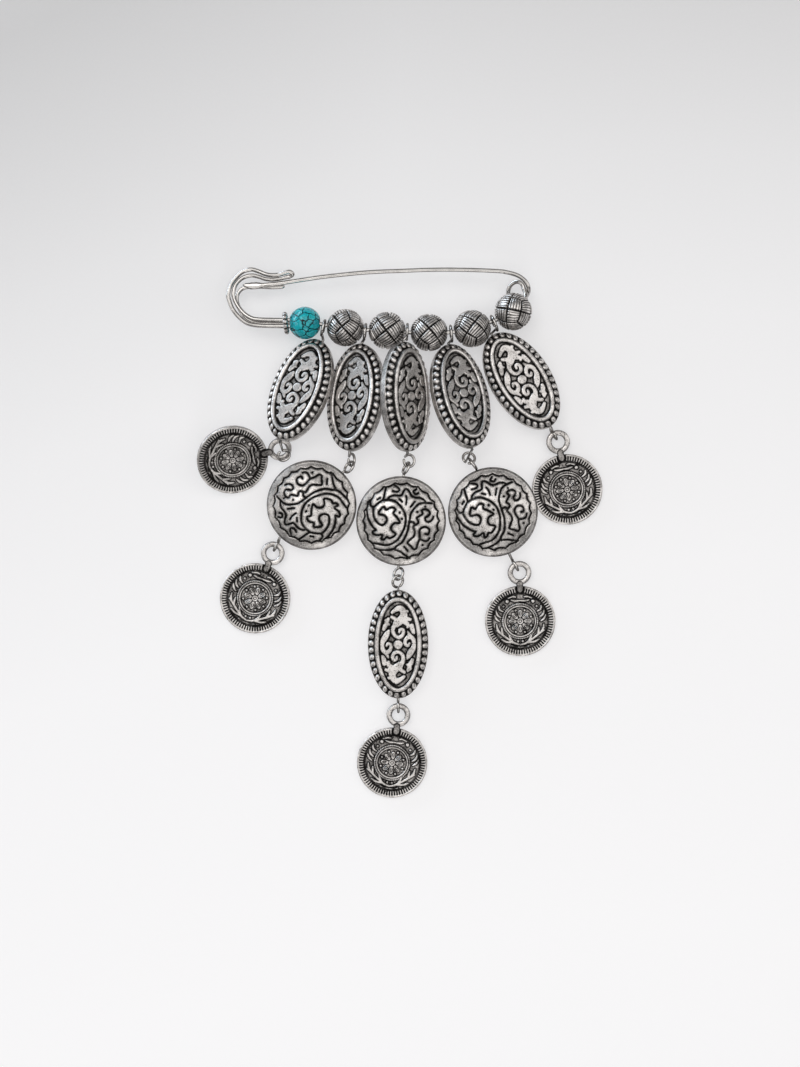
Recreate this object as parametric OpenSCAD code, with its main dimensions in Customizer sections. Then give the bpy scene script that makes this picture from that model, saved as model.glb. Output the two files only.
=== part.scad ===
// Silver kilt pin brooch with a turquoise bead, woven silver balls, oval and disc drops and five coin drops.
// It lies flat as worn pieces are laid out: +X right, +Y up along the brooch, +Z away from the surface.
// Lengths are millimetres. The origin is on the surface, under the middle of the whole brooch.

/* [Pin] */
// Diameter of the pin wire
wire_d = 1.3; // [1.2:0.05:1.35]
// Running gap between the stem's round end and the frame
stem_gap = 0.15; // [0.1:0.05:0.3]
// Width of the flattened point of the stem
point_w = 2.1; // [1.6:0.1:2.4]

/* [Beads on the bar] */
// Diameter of the woven silver balls
ball_d = 11.2; // [10.6:0.1:11.3]
// Width of the groove between two woven patches
ball_groove = 0.36; // [0.2:0.02:0.5]
// Diameter of the turquoise bead
turquoise_d = 9.7; // [9:0.1:9.8]
// Diameter of the daisy spacer
spacer_d = 6.9; // [6:0.1:7.2]
// Thickness of the daisy spacer
spacer_t = 2.0; // [1.6:0.1:2.2]

/* [Oval drops] */
// Length of an oval drop
oval_l = 32.6; // [31:0.2:32.8]
// Width of an oval drop
oval_w = 18.2; // [17:0.1:18.3]
// Thickness of an oval drop from back to ring frame
oval_t = 6.5; // [5.5:0.1:6.8]
// Number of border beads round an oval drop
border_beads = 36; // [30:2:40]

/* [Disc drops] */
// Diameter of a disc drop
disc_d = 27.0; // [26:0.1:27.2]
// Thickness of a disc drop at its middle
disc_t = 8.0; // [7:0.1:8.2]

/* [Coin drops] */
// Diameter of a coin drop
coin_d = 21.3; // [20:0.1:21.6]
// Thickness of a coin drop without its relief
coin_t = 1.1; // [0.9:0.05:1.2]
// Number of milled ticks round a coin
coin_ticks = 60; // [36:4:72]
// Distance from the coin's middle to the middle of its hanging ring
ring_reach = 14.6; // [14.4:0.1:14.8]

/* [Eye pins] */
// Diameter of the eye pin wire
eye_d = 0.85; // [0.7:0.05:0.9]
// Radius of an end loop, to the middle of its wire
loop_r = 1.8; // [1.75:0.05:1.85]
// Radius of a loop that goes round the bar, to the middle of its wire
bar_loop_r = 2.3; // [2.25:0.05:2.35]

/* [Hidden] */
$fn = 64;

// Height of the bar and of the stem: the balls rest on the surface
bar_z = ball_d / 2 + 0.05;
wire_r = wire_d / 2;

// The stem turns about this point, at the height of the bar
HINGE = [31.5, 78.3];
frame_start = HINGE[0] + wire_r + stem_gap;

// Route of the frame wire: x, y, height over the bar. It starts at the stem, makes the spring coil,
// runs through the beads, makes the inner bow, the hook tip, the outer bow and the wire under the stem.
COIL = [
    [frame_start, 78.2, 0], [33.7, 77.8, 0], [35.6, 77.1, 0], [37.4, 75.8, -0.2], [38.5, 74.2, -0.6],
    [38.7, 72.7, -1.5], [38.0, 71.4, -2.8], [36.6, 70.7, -4.1], [34.9, 70.5, -4.9], [33.4, 71.2, -4.7],
    [32.8, 72.8, -4.1], [33.3, 74.6, -3.2], [34.6, 75.6, -2.5], [35.9, 75.6, -1.9], [36.9, 74.7, -1.4],
    [37.3, 73.3, -1.1], [37.8, 71.6, -0.6], [37.5, 69.9, -0.1], [36.0, 68.3, 0]
];
BAR = [
    [34.0, 66.4, 0], [31.4, 65.0, 0], [27.8, 63.5, 0], [21.7, 61.3, 0], [15.4, 60.3, 0], [8.8, 60.1, 0],
    [2.2, 60.2, 0], [-3.8, 60.7, 0], [-10.1, 61.0, 0], [-16.3, 61.6, 0], [-22.4, 62.4, 0],
    [-28.4, 63.6, 0.4], [-34.4, 63.8, 0.3]
];
INNER_BOW = [
    [-38.3, 63.9, 0.3], [-41.9, 64.0, 0.3], [-44.3, 64.4, 0.2], [-46.6, 65.8, 0], [-48.4, 67.9, -0.2],
    [-49.5, 70.0, -0.3], [-49.9, 72.1, -0.3], [-49.0, 74.8, -0.3], [-47.0, 76.6, -0.3], [-44.5, 77.3, -0.3],
    [-42.2, 76.9, -0.4], [-40.4, 76.3, -0.5], [-38.6, 76.1, -0.5], [-36.5, 76.3, -0.5], [-34.4, 76.7, -0.4],
    [-32.9, 77.0, -0.3]
];
HOOK_TIP = [[-32.1, 77.6, 0.2]];
OUTER_BOW = [
    [-32.9, 78.2, 0.7], [-34.4, 77.9, 0.8], [-36.5, 77.3, 0.8], [-38.6, 77.2, 0.8], [-40.4, 77.6, 0.8],
    [-42.4, 78.4, 0.7], [-44.6, 78.9, 0.7], [-47.5, 77.9, 0.7], [-50.2, 74.9, 0.7], [-51.3, 71.5, 0.7],
    [-50.9, 69.4, 0.7], [-50.0, 67.1, 0.7], [-48.5, 65.1, 0.7], [-46.6, 63.4, 0.6], [-44.6, 62.5, 0.5],
    [-41.3, 62.1, 0.4], [-35.6, 62.0, 0.4], [-30.5, 61.9, 0.4]
];
BACK_TURN = [[-29.6, 62.1, -0.5]];
UNDER_WIRE = [
    [-30.5, 62.4, -1.3], [-35.6, 62.9, -1.2], [-41.3, 63.0, -1.2], [-44.3, 63.6, -1.2], [-46.6, 65.1, -1.4],
    [-48.1, 67.3, -1.6], [-49.0, 69.7, -1.7], [-48.8, 71.8, -1.7], [-47.6, 73.4, -1.7], [-45.5, 74.1, -1.6],
    [-41.3, 74.1, -1.6], [-38.3, 74.0, -1.6], [-35.2, 74.2, -1.6]
];
FRAME_ROUTE = concat(COIL, BAR, INNER_BOW, HOOK_TIP, OUTER_BOW, BACK_TURN, UNDER_WIRE);
FRAME_STEPS = 2;
FRAME_SIDES = 8;

// Route of the stem: x, y, half width, half thickness
STEM = [
    [HINGE[0], HINGE[1], wire_r, wire_r], [30.1, 78.5, wire_r, wire_r], [24.1, 78.8, wire_r, wire_r],
    [15.1, 79.0, wire_r, wire_r], [7.6, 78.9, wire_r, wire_r], [0.1, 78.6, wire_r, wire_r],
    [-5.9, 78.4, wire_r, wire_r], [-11.9, 78.0, wire_r, wire_r], [-17.9, 77.4, wire_r, wire_r],
    [-23.9, 76.7, wire_r, wire_r], [-29.9, 75.8, wire_r, wire_r], [-34.4, 75.1, wire_r, wire_r],
    [-38.3, 74.6, wire_r, wire_r], [-41.0, 74.4, 0.55, 0.5], [-42.8, 74.2, point_w / 2, 0.4],
    [-44.6, 74.1, point_w / 2, 0.35], [-46.2, 74.3, 0.6, 0.3], [-47.0, 74.4, 0.12, 0.15]
];
STEM_STEPS = 2;
STEM_SIDES = 10;

// Beads on the bar: x, y, bore angle left of the middle, bore angle right of the middle
BALLS = [
    [-16.3, 61.6, 174, -6], [-3.8, 60.7, 176, -4], [8.8, 60.1, 181, 1], [21.7, 61.3, 190, 20],
    [34.0, 66.4, 208, 47]
];
// Turns of the woven balls about X, Y and Z
BALL_TURN = [[13, -47, -58], [87, 6, -142], [86, -6, -47], [74, -4, -36], [176, 23, 167]];
ball_bore_r = 1.15;
TURQUOISE = [-28.4, 63.0];
// Spacer: x, y, lean on the wires
SPACER = [-34.15, 63.0, 6];
bundle_bore_r = 1.95;
bundle_z = bar_z - 0.2;
spacer_dots = 14;

// Oval drops: x, y, lean of the top to the right, roll (right edge up), rise of the lower end,
// shift of the bore's upper end, lift where the drop leans on its neighbour
OVALS = [
    [-29.75, 42.85, 19.4, 21.1, 8.6, 1.2, 0], [-13.15, 40.65, 6.2, 25.4, 5.9, 0, 0],
    [1.7, 40.6, -2.1, -42.6, 0, 0, 1.2], [18.05, 41.0, -11.9, -26, 12, 0, 0],
    [36.5, 45.75, -32.2, -4, 3, 0, 0], [-0.5, -33.35, 0, 0, 0, 0, 0]
];
// Turn of the scrolls against the oval's long axis
relief_turn = -2.4;
// Disc drops: x, y, direction of the bore from the lower to the upper end, turn of the engraving
DISCS = [[-26.5, 8.5, 46, 136], [0.4, 3.7, 86.6, 0], [28.0, 6.4, 111.4, 28]];
// Coin drops: x, y, direction from the coin to its ring, roll about that direction, lift of the ring end
COINS = [
    [-50.3, 22.3, 13, 25, -8], [-43.7, -19.6, 68.5, 0, 3.3], [-2.3, -69.3, 82.5, 0, 3.3],
    [36.4, -26.5, 91, 0, 3.3], [50.6, 13.3, 101, 0, 3.3]
];

// Section rings of an oval drop: how far inside the rim, height as a share of the half thickness,
// height of a border bead over that
OVAL_RINGS = [
    [3.6, -1.0, 0], [0.9, -0.7, 0], [0, -0.34, 0], [0, 0.3, 0], [1.15, 0.55, 0.22], [2.0, 0.68, 0],
    [2.5, 1.0, 0], [3.0, 1.0, 0], [3.35, 0.72, 0]
];
scroll_t = 0.55;
field_z = 0.72 * oval_t / 2;

ring_outer = 3.6;
ring_inner = 1.95;
ring_t = 1.2;
ring_mid = (ring_outer + ring_inner) / 2;
shaft_r = eye_d * 0.45;
bore_clear = 0.3;
link_z = 4.2;

function ball_name(i) = str("woven_bead_", i + 1);
function oval_name(i) = str("oval_", i + 1);
function disc_name(i) = str("disc_", i + 1);
function coin_name(i) = str("coin_", i + 1);
function eye_name(i) = str("eye_pin_", i + 1);

// Vector helpers
function unit(v) = v / norm(v);
function flat_dir(a) = [cos(a), sin(a), 0];
function aim(az, el) = [cos(az) * cos(el), sin(az) * cos(el), sin(el)];
function across(v, n) = unit(v - (v * n) * n);

// A smooth curve through the rows of a route, with n steps between two rows
function blend_row(a, b, c, d, t) =
    0.5 * (2 * b + (c - a) * t + (2 * a - 5 * b + 4 * c - d) * t * t + (3 * b - a - 3 * c + d) * t * t * t);
function smooth(rows, n) = concat(
    [for (i = [0 : len(rows) - 2], k = [0 : n - 1])
        blend_row(rows[max(i - 1, 0)], rows[i], rows[i + 1], rows[min(i + 2, len(rows) - 1)], k / n)],
    [rows[len(rows) - 1]]
);

// Triangles between two neighbouring rings of the same number of points, split left and right in turn
function band_faces(ring, sides) = [for (k = [0 : sides - 1], half = [0, 1])
    let (a = ring * sides + k, b = ring * sides + (k + 1) % sides)
        (ring + k) % 2 == 0
            ? (half == 0 ? [b + sides, b, a] : [a + sides, b + sides, a])
            : (half == 0 ? [a + sides, b, a] : [a + sides, b + sides, b])];
function tube_faces(rings, sides) = concat(
    [[for (k = [0 : sides - 1]) k]],
    [for (i = [0 : rings - 2]) each band_faces(i, sides)],
    [[for (k = [sides - 1 : -1 : 0]) (rings - 1) * sides + k]]
);

// A wire swept along rows of x, y, z, half width, half thickness
module wire(rows, sides) {
    last = len(rows) - 1;
    points = [for (i = [0 : last])
        let (
            c = [rows[i][0], rows[i][1], rows[i][2]],
            ahead = rows[min(i + 1, last)] - rows[max(i - 1, 0)],
            along = unit([ahead[0], ahead[1], ahead[2]]),
            side = unit(cross([0, 0, 1], along)),
            rise = cross(along, side)
        )
        for (k = [0 : sides - 1])
            c + rows[i][3] * cos(360 * k / sides) * side + rows[i][4] * sin(360 * k / sides) * rise];
    polyhedron(points, tube_faces(len(rows), sides), 4);
}

// A straight round rod from one point to another
module rod(from, to, r) {
    v = to - from;
    translate(from)
        rotate([0, acos(v[2] / norm(v)), atan2(v[1], v[0])])
            cylinder(h = norm(v), r = r);
}

// A closed wire loop about a normal
module loop(centre, normal, r) {
    translate(centre)
        rotate([0, acos(normal[2]), atan2(normal[1], normal[0])])
            rotate_extrude()
                translate([r, 0])
                    circle(r = eye_d / 2, $fn = 24);
}

// Pin: one wire from the stem's hinge point to the wire under the stem
module pin_frame() {
    rows = smooth([for (p = FRAME_ROUTE) [p[0], p[1], bar_z + p[2], wire_r, wire_r]], FRAME_STEPS);
    color("silver")
        wire(rows, FRAME_SIDES);
}

// Stem: the sprung wire with a flattened point, round at its hinge end
module pin_stem() {
    rows = smooth([for (p = STEM) [p[0], p[1], bar_z, p[2], p[3]]], STEM_STEPS);
    // Half a sphere about the hinge point, in three rings
    cap = [for (a = [76, 53, 27])
        [HINGE[0] + wire_r * sin(a), HINGE[1], bar_z, wire_r * cos(a), wire_r * cos(a)]];
    color("silver")
        wire(concat(cap, rows), STEM_SIDES);
}

// Daisy spacer: a flat ring with a dotted rim
module spacer() {
    dot_r = 0.65;
    rim_r = spacer_d / 2 - dot_r + 0.1;
    hub_wall = 0.5;
    color("silver")
        translate([SPACER[0], SPACER[1], bundle_z])
            difference() {
                rotate([0, 90, SPACER[2]])
                    union() {
                        cylinder(h = spacer_t * 0.6, r = rim_r, center = true);
                        for (i = [0 : spacer_dots - 1])
                            rotate(360 / spacer_dots * i)
                                translate([spacer_d / 2 - dot_r, 0, 0])
                                    sphere(r = dot_r, $fn = 24);
                        cylinder(h = spacer_t * 0.85, r = bundle_bore_r + hub_wall, center = true);
                    }
                rotate([0, 90, 0])
                    cylinder(h = spacer_t * 3, r = bundle_bore_r, center = true);
            }
}

module turquoise_bead() {
    color("darkturquoise")
        translate([TURQUOISE[0], TURQUOISE[1], bundle_z])
            rotate([0, 90, 0])
                difference() {
                    sphere(d = turquoise_d);
                    cylinder(h = turquoise_d * 2, r = bundle_bore_r, center = true);
                }
}

// Woven ball: three crossing grooves part the woven patches, and the bar runs through a bent bore
module woven_bead(i) {
    b = BALLS[i];
    color("lightgray")
        translate([b[0], b[1], bar_z])
            difference() {
                sphere(d = ball_d);
                for (turn = [[0, 0, 0], [90, 0, 0], [0, 90, 0]])
                    rotate(BALL_TURN[i])
                        rotate(turn)
                            rotate_extrude()
                                translate([ball_d / 2, 0])
                                    circle(d = ball_groove, $fn = 16);
                for (a = [b[2], b[3]])
                    rod(-0.3 * flat_dir(a), ball_d * 0.6 * flat_dir(a), ball_bore_r);
            }
}

// Lowest point of a tilted oval ring under the middle of its drop
function ring_drop(o, r) =
    norm([(oval_w / 2 - r[0]) * cos(o[4]) * sin(o[3]), (oval_l / 2 - r[0]) * sin(o[4])])
    - r[1] * oval_t / 2 * cos(o[4]) * cos(o[3]);
function oval_z(i) = OVALS[i][6] + max([for (r = OVAL_RINGS) ring_drop(OVALS[i], r)]);
// A point of the drop's long axis in the brooch's frame
function oval_end(i, x, y) =
    let (o = OVALS[i])
        [o[0] + x * cos(o[2]) + y * cos(o[4]) * sin(o[2]),
         o[1] - x * sin(o[2]) + y * cos(o[4]) * cos(o[2]),
         oval_z(i) - y * sin(o[4])];

// Body of an oval drop: stacked oval rings with a beaded border and a raised ring frame
module oval_body() {
    columns = border_beads * 2;
    points = [for (r = OVAL_RINGS, k = [0 : columns - 1])
        let (a = 360 * k / columns, z = (r[1] + (k % 2 == 0 ? r[2] : -r[2] / 4)) * oval_t / 2)
            [(oval_w / 2 - r[0]) * cos(a), (oval_l / 2 - r[0]) * sin(a), z]];
    polyhedron(points, tube_faces(len(OVAL_RINGS), columns), 4);
}

// Flat raised volute: a broken ring with a round end
module volute(x, y, r, start, sweep) {
    w = 0.9;
    translate([x, y, field_z - 0.15])
        rotate(start) {
            rotate_extrude(angle = sweep)
                translate([r - w / 2, 0])
                    square([w, scroll_t + 0.15]);
            translate([r * 0.62 * cos(sweep), r * 0.62 * sin(sweep), 0])
                cylinder(h = scroll_t + 0.14, r = 0.72, $fn = 32);
        }
}

module lobe(x, y, r) {
    translate([x, y, field_z - 0.15])
        cylinder(h = scroll_t + 0.15, r = r, $fn = 32);
}

// Scroll relief, the same when turned half round
module oval_relief() {
    lobe(0, 0, 1.3);
    for (turn = [0, 180])
        rotate(turn) {
            volute(0.3, 4.0, 1.75, -60, 290);
            lobe(-0.3, 7.0, 1.35);
            lobe(1.4, 8.2, 1.15);
            lobe(-1.2, 9.2, 1.3);
            lobe(0.5, 10.4, 1.2);
            volute(3.1, 1.0, 1.3, -200, 280);
            lobe(2.6, -2.0, 0.7);
            lobe(3.9, 5.0, 0.65);
            lobe(-3.7, 6.3, 0.7);
        }
}

module oval_drop(i) {
    o = OVALS[i];
    half = oval_l / 2 + 2;
    color("lightgray")
        difference() {
            translate([o[0], o[1], oval_z(i)])
                rotate([0, 0, -o[2]])
                    rotate([-o[4], 0, 0])
                        rotate([0, -o[3], 0])
                            union() {
                                oval_body();
                                rotate(relief_turn)
                                    oval_relief();
                            }
            rod(oval_end(i, o[5] * 1.12, half), oval_end(i, -o[5] * 0.34, -half), shaft_r + bore_clear);
        }
}

// Disc drop: a domed disc with a plain rim, engraved with a border line and swirls
disc_rim_r = 1.2;
dome_r = disc_d / 2 - 1.0;
dome_h = disc_t / 2 - disc_rim_r;
dome_sphere = (dome_r * dome_r + dome_h * dome_h) / (2 * dome_h);
border_r = disc_d * 0.405;
groove_w = 0.5;
groove_depth = 0.35;

module dome(shrink) {
    intersection() {
        translate([0, 0, disc_t / 2 - dome_sphere])
            sphere(r = dome_sphere - shrink);
        cylinder(h = disc_t, r = dome_r);
    }
}

module arc_wall(x, y, r, start, sweep) {
    translate([x, y, 0])
        rotate(start)
            rotate_extrude(angle = sweep)
                translate([r - groove_w / 2, 1])
                    square([groove_w, disc_t]);
}

module disc_body() {
    cylinder(h = disc_rim_r * 2, r = disc_d / 2 - disc_rim_r, center = true);
    rotate_extrude()
        translate([disc_d / 2 - disc_rim_r, 0])
            circle(r = disc_rim_r, $fn = 32);
    dome(0);
    mirror([0, 0, 1])
        dome(0);
}

module disc_drop(i) {
    d = DISCS[i];
    reach = disc_d / 2 + 2;
    color("lightgray")
        translate([d[0], d[1], disc_t / 2])
            difference() {
                disc_body();
                rotate(d[3])
                    difference() {
                        union() {
                            arc_wall(0, 0, border_r, 0, 360);
                            arc_wall(-3.2, -0.8, 5.6, -80, 250);
                            arc_wall(-3.4, 0.4, 2.4, -150, 240);
                            arc_wall(6.6, -2.4, 5.8, 95, 120);
                            arc_wall(5.2, -3.6, 1.8, -60, 270);
                            arc_wall(4.8, 4.0, 2.2, -120, 240);
                        }
                        translate([0, 0, disc_t / 2 - dome_sphere])
                            sphere(r = dome_sphere - groove_depth);
                    }
                rod(-reach * flat_dir(d[2]), reach * flat_dir(d[2]), shaft_r + bore_clear);
            }
}

// Coin drop: coin, raised tab and hanging ring in one casting, its lowest edge on the surface
function coin_z(i) =
    let (c = COINS[i])
        coin_d / 2 * norm([sin(c[3]) * cos(c[4]), sin(c[4])]);
// Middle of the hanging ring
function coin_ring(i) =
    let (
        c = COINS[i],
        s = ring_reach * cos(c[4]) - ring_t / 2 * cos(c[3]) * sin(c[4]),
        w = ring_t / 2 * sin(c[3])
    )
        [c[0] + s * cos(c[2]) - w * sin(c[2]),
         c[1] + s * sin(c[2]) + w * cos(c[2]),
         coin_z(i) + ring_reach * sin(c[4]) + ring_t / 2 * cos(c[3]) * cos(c[4])];

module coin_relief() {
    relief_t = 0.3;
    low = coin_t - 0.2;
    high = relief_t + 0.2;
    rim_w = 0.8;
    // Plain raised rim
    difference() {
        translate([0, 0, low])
            cylinder(h = high + 0.1, r = coin_d / 2 - 0.1);
        cylinder(h = coin_t * 3, r = coin_d / 2 - rim_w);
    }
    // Milled ticks
    tick_out = coin_d / 2 - rim_w + 0.05;
    tick_in = coin_d / 2 - 2.0;
    // Radius and place in the step of the four corners of a tick
    corners = [[tick_in, 0.1], [tick_in, 0.45], [tick_out - 0.1, 0.55], [tick_out - 0.1, 1]];
    teeth = [for (k = [0 : coin_ticks - 1], p = corners)
        p[0] * [cos(360 / coin_ticks * (k + p[1])), sin(360 / coin_ticks * (k + p[1]))]];
    translate([0, 0, low])
        difference() {
            cylinder(h = high - 0.05, r = tick_out);
            translate([0, 0, -1])
                linear_extrude(coin_t * 3)
                    polygon(teeth);
        }
    // Wreath leaves
    for (k = [1 : 13])
        rotate(90 + 360 / 14 * k)
            translate([6.9, 0, low])
                intersection() {
                    translate([0, 1.1, 0])
                        cylinder(h = high, r = 1.6, $fn = 32);
                    translate([0, -1.1, 0])
                        cylinder(h = high, r = 1.6, $fn = 32);
                }
    // Ring round the medallion
    translate([0, 0, low])
        difference() {
            cylinder(h = high, r = 5.3);
            translate([0, 0, -1])
                cylinder(h = coin_t * 3, r = 4.9);
        }
    // Plain rosette of eight petals
    for (k = [0 : 7])
        rotate(45 * k)
            translate([2.5, 0, low])
                cylinder(h = high, r = 0.85, $fn = 32);
    translate([0, 0, low])
        cylinder(h = high + 0.1, r = 1.25, $fn = 32);
}

module coin_drop(i) {
    c = COINS[i];
    tab_w = 2.1;
    tab_from = 9.6;
    tab_to = 11.5;
    color("gray")
        translate([c[0], c[1], coin_z(i)])
            rotate([0, 0, c[2] - 90])
                rotate([c[4], 0, 0])
                    rotate([0, c[3], 0])
                        union() {
                            cylinder(h = coin_t, r = coin_d / 2);
                            coin_relief();
                            // Tab
                            translate([-tab_w / 2, tab_from, 0.2])
                                cube([tab_w, tab_to - tab_from, coin_t + 0.45]);
                            for (y = [tab_from, tab_to])
                                translate([0, y, 0.2])
                                    cylinder(h = coin_t + 0.45, d = tab_w, $fn = 32);
                            // Hanging ring
                            translate([0, ring_reach, 0])
                                difference() {
                                    cylinder(h = ring_t, r = ring_outer);
                                    translate([0, 0, -1])
                                        cylinder(h = ring_t * 3, r = ring_inner);
                                }
                        }
}

// Eye pins: a shaft through the drop with a loop at each end
function hook_dir(from, coin) = let (w = coin_ring(coin)) unit([from[0] - w[0], from[1] - w[1], 0]);
function hook_centre(from, coin) =
    coin_ring(coin) + hook_dir(from, coin) * ring_mid + [0, 0, 0.25];
function hook_normal(from, coin) = cross(hook_dir(from, coin), [0, 0, 1]);
// The shaft leaves its drop this far beyond the rim
shaft_out = 0.6;
function disc_end(i, s) =
    [DISCS[i][0], DISCS[i][1], disc_t / 2] + s * (disc_d / 2 + shaft_out - 0.1) * flat_dir(DISCS[i][2]);
function oval_top(i) = oval_end(i, OVALS[i][5], oval_l / 2 + shaft_out);
function oval_low(i) = oval_end(i, -0.3 * OVALS[i][5], -oval_l / 2 - shaft_out);

// Loop round the bar: middle, normal, radius
function bar_eye(x, y, turn) = [[x, y, bar_z], aim(turn, 0), bar_loop_r];
// Loop linked into another loop
function link_eye(x, y, z, turn, rise) = [[x, y, z], aim(turn, rise), loop_r];
// Loop that stands upright in the hanging ring of a coin
function hook_eye(from, coin) = [hook_centre(from, coin), hook_normal(from, coin), loop_r];

// Rows: upper end and lower end of the shaft, upper loop, lower loop
EYES = [
    [oval_top(0), oval_low(0), bar_eye(-22.9, 61.5, -14), link_eye(-34.9, 23.4, 4.0, -61, 51)],
    [oval_top(1), oval_low(1), bar_eye(-10.4, 60.3, -7), link_eye(-14.5, 22.1, link_z, -2, 28)],
    [oval_top(2), oval_low(2), bar_eye(2.2, 60.3, -3), link_eye(2.8, 21.8, link_z, 0, 60)],
    [oval_top(3), oval_low(3), bar_eye(15.4, 59.8, 6), link_eye(20.8, 22.6, 3.9, 68, 62)],
    [oval_top(4), oval_low(4), bar_eye(28.3, 62.9, 24), hook_eye(oval_low(4), 4)],
    [oval_top(5), oval_low(5), link_eye(-0.6, -14.5, 3.3, -25, 53), hook_eye(oval_low(5), 2)],
    [disc_end(0, 1), disc_end(0, -1), link_eye(-15.2, 19.9, link_z, -35, -35), hook_eye(disc_end(0, -1), 1)],
    [disc_end(1, 1), disc_end(1, -1), link_eye(1.9, 19.6, link_z, -25, -20),
        link_eye(-0.4, -12.2, 3.3, 155, 45)],
    [disc_end(2, 1), disc_end(2, -1), link_eye(22.0, 20.9, link_z, 36, 7), hook_eye(disc_end(2, -1), 3)]
];

// Where a shaft coming from a point meets a loop
function join(from, eye) = eye[0] + eye[2] * across(from - eye[0], eye[1]);

module eye_pin(i) {
    e = EYES[i];
    color("silver")
        union() {
            rod(e[1], e[0], shaft_r);
            for (k = [0, 1]) {
                translate(e[k])
                    sphere(r = shaft_r * 1.3, $fn = 24);
                rod(e[k], join(e[k], e[k + 2]), shaft_r);
                loop(e[k + 2][0], e[k + 2][1], e[k + 2][2]);
            }
        }
}

pin_frame();
pin_stem();
spacer();
turquoise_bead();
for (i = [0 : len(BALLS) - 1]) woven_bead(i);
for (i = [0 : len(OVALS) - 1]) oval_drop(i);
for (i = [0 : len(DISCS) - 1]) disc_drop(i);
for (i = [0 : len(COINS) - 1]) coin_drop(i);
for (i = [0 : len(EYES) - 1]) eye_pin(i);
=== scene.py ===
# Silver kilt pin brooch: beads along its bar, oval, disc and coin drops below it.
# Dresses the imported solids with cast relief, engraving, basket weave, stone and round wire.

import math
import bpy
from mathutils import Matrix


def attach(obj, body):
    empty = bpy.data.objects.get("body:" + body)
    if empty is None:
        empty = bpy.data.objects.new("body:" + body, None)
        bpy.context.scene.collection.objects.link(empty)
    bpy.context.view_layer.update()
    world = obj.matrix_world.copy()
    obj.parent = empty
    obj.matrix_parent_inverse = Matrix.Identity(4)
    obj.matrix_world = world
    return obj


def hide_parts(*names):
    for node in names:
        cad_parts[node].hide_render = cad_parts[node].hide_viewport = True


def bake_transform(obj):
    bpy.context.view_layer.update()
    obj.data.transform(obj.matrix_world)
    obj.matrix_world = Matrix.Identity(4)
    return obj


bl_info = {
    "name": "Silver Brooch",
    "version": (1, 0, 0),
    "blender": (4, 5, 0),
    "location": "3D View > Sidebar > Brooch",
    "description": "Builds the looks of a silver kilt pin brooch over its packed solids",
    "category": "Object",
}

import bpy
import numpy as np

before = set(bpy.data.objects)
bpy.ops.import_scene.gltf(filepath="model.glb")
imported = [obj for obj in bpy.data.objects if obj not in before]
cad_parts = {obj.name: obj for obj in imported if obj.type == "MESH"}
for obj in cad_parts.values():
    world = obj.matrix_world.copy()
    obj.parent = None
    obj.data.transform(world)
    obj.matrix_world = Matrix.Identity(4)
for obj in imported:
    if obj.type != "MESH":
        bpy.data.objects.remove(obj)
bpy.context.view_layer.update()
MM = 0.001


def linear(code):
    """An sRGB hex colour as linear red, green and blue."""
    parts = [int(code[i : i + 2], 16) / 255 for i in (1, 3, 5)]
    return tuple(p / 12.92 if p <= 0.04045 else ((p + 0.055) / 1.055) ** 2.4 for p in parts)


def length(name, description, millimetres):
    """A size that a user would change."""
    return bpy.props.FloatProperty(
        name=name, description=description, default=millimetres * MM, min=0, precision=5, unit="LENGTH"
    )


def colour(name, description, code):
    """A colour that a user would change."""
    return bpy.props.FloatVectorProperty(
        name=name, description=description, default=linear(code), size=3, min=0, max=1, subtype="COLOR"
    )


class BroochSizes(bpy.types.PropertyGroup):
    """Sizes of the brooch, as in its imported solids"""

    wire: length("Pin wire", "Diameter of the pin wire", 1.3)
    eye_wire: length("Eye pin wire", "Diameter of the eye pin wire", 0.85)
    ball: length("Woven ball", "Diameter of a woven ball", 11.2)
    turquoise: length("Turquoise", "Diameter of the turquoise bead", 9.7)
    spacer: length("Spacer", "Diameter of the daisy spacer", 6.9)
    oval_length: length("Oval length", "Length of an oval drop", 32.6)
    oval_width: length("Oval width", "Width of an oval drop", 18.2)
    oval_thickness: length("Oval thickness", "Thickness of an oval drop", 6.5)
    disc: length("Disc", "Diameter of a disc drop", 27.0)
    disc_thickness: length("Disc thickness", "Thickness of a disc drop", 8.0)
    coin: length("Coin", "Diameter of a coin drop", 21.3)
    coin_thickness: length("Coin thickness", "Thickness of a coin drop without relief", 1.1)
    border_beads: bpy.props.IntProperty(
        name="Border beads", description="Beads round an oval drop", default=36, min=24, max=48
    )
    coin_ticks: bpy.props.IntProperty(
        name="Coin ticks", description="Milled ticks round a coin drop", default=76, min=40, max=90
    )


class BroochColours(bpy.types.PropertyGroup):
    """Colours of the metals, the stone and the floor"""

    bright: colour("Bright silver", "Rubbed silver on the relief", "#EAE6E3")
    worn: colour("Worn silver", "Silver with a thin dark film", "#A9A5A2")
    oxide: colour("Oxide", "Black oxide in the hollows", "#12100F")
    wire: colour("Wire", "Plated pin wire", "#DCD9D6")
    # Colour of the painted shade on the sides of the wires
    film_and_side_shade: colour("Wire film", "Dark film on the sides of the wires", "#4A4542")
    stone: colour("Stone", "Turquoise", "#28C6CE")
    stone_deep: colour("Deep stone", "Darker patches of the turquoise", "#149AA9")
    vein: colour("Vein", "Veins of the turquoise", "#0E1B1E")
    floor: colour("Floor", "Paper under the brooch", "#C4C3C3")


# Heights over the surface and places, in millimetres, as in the part's source. The wire's points are x, y
# and height over the bar
BAR_Z = 5.65
BUNDLE_Z = BAR_Z - 0.2

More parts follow.
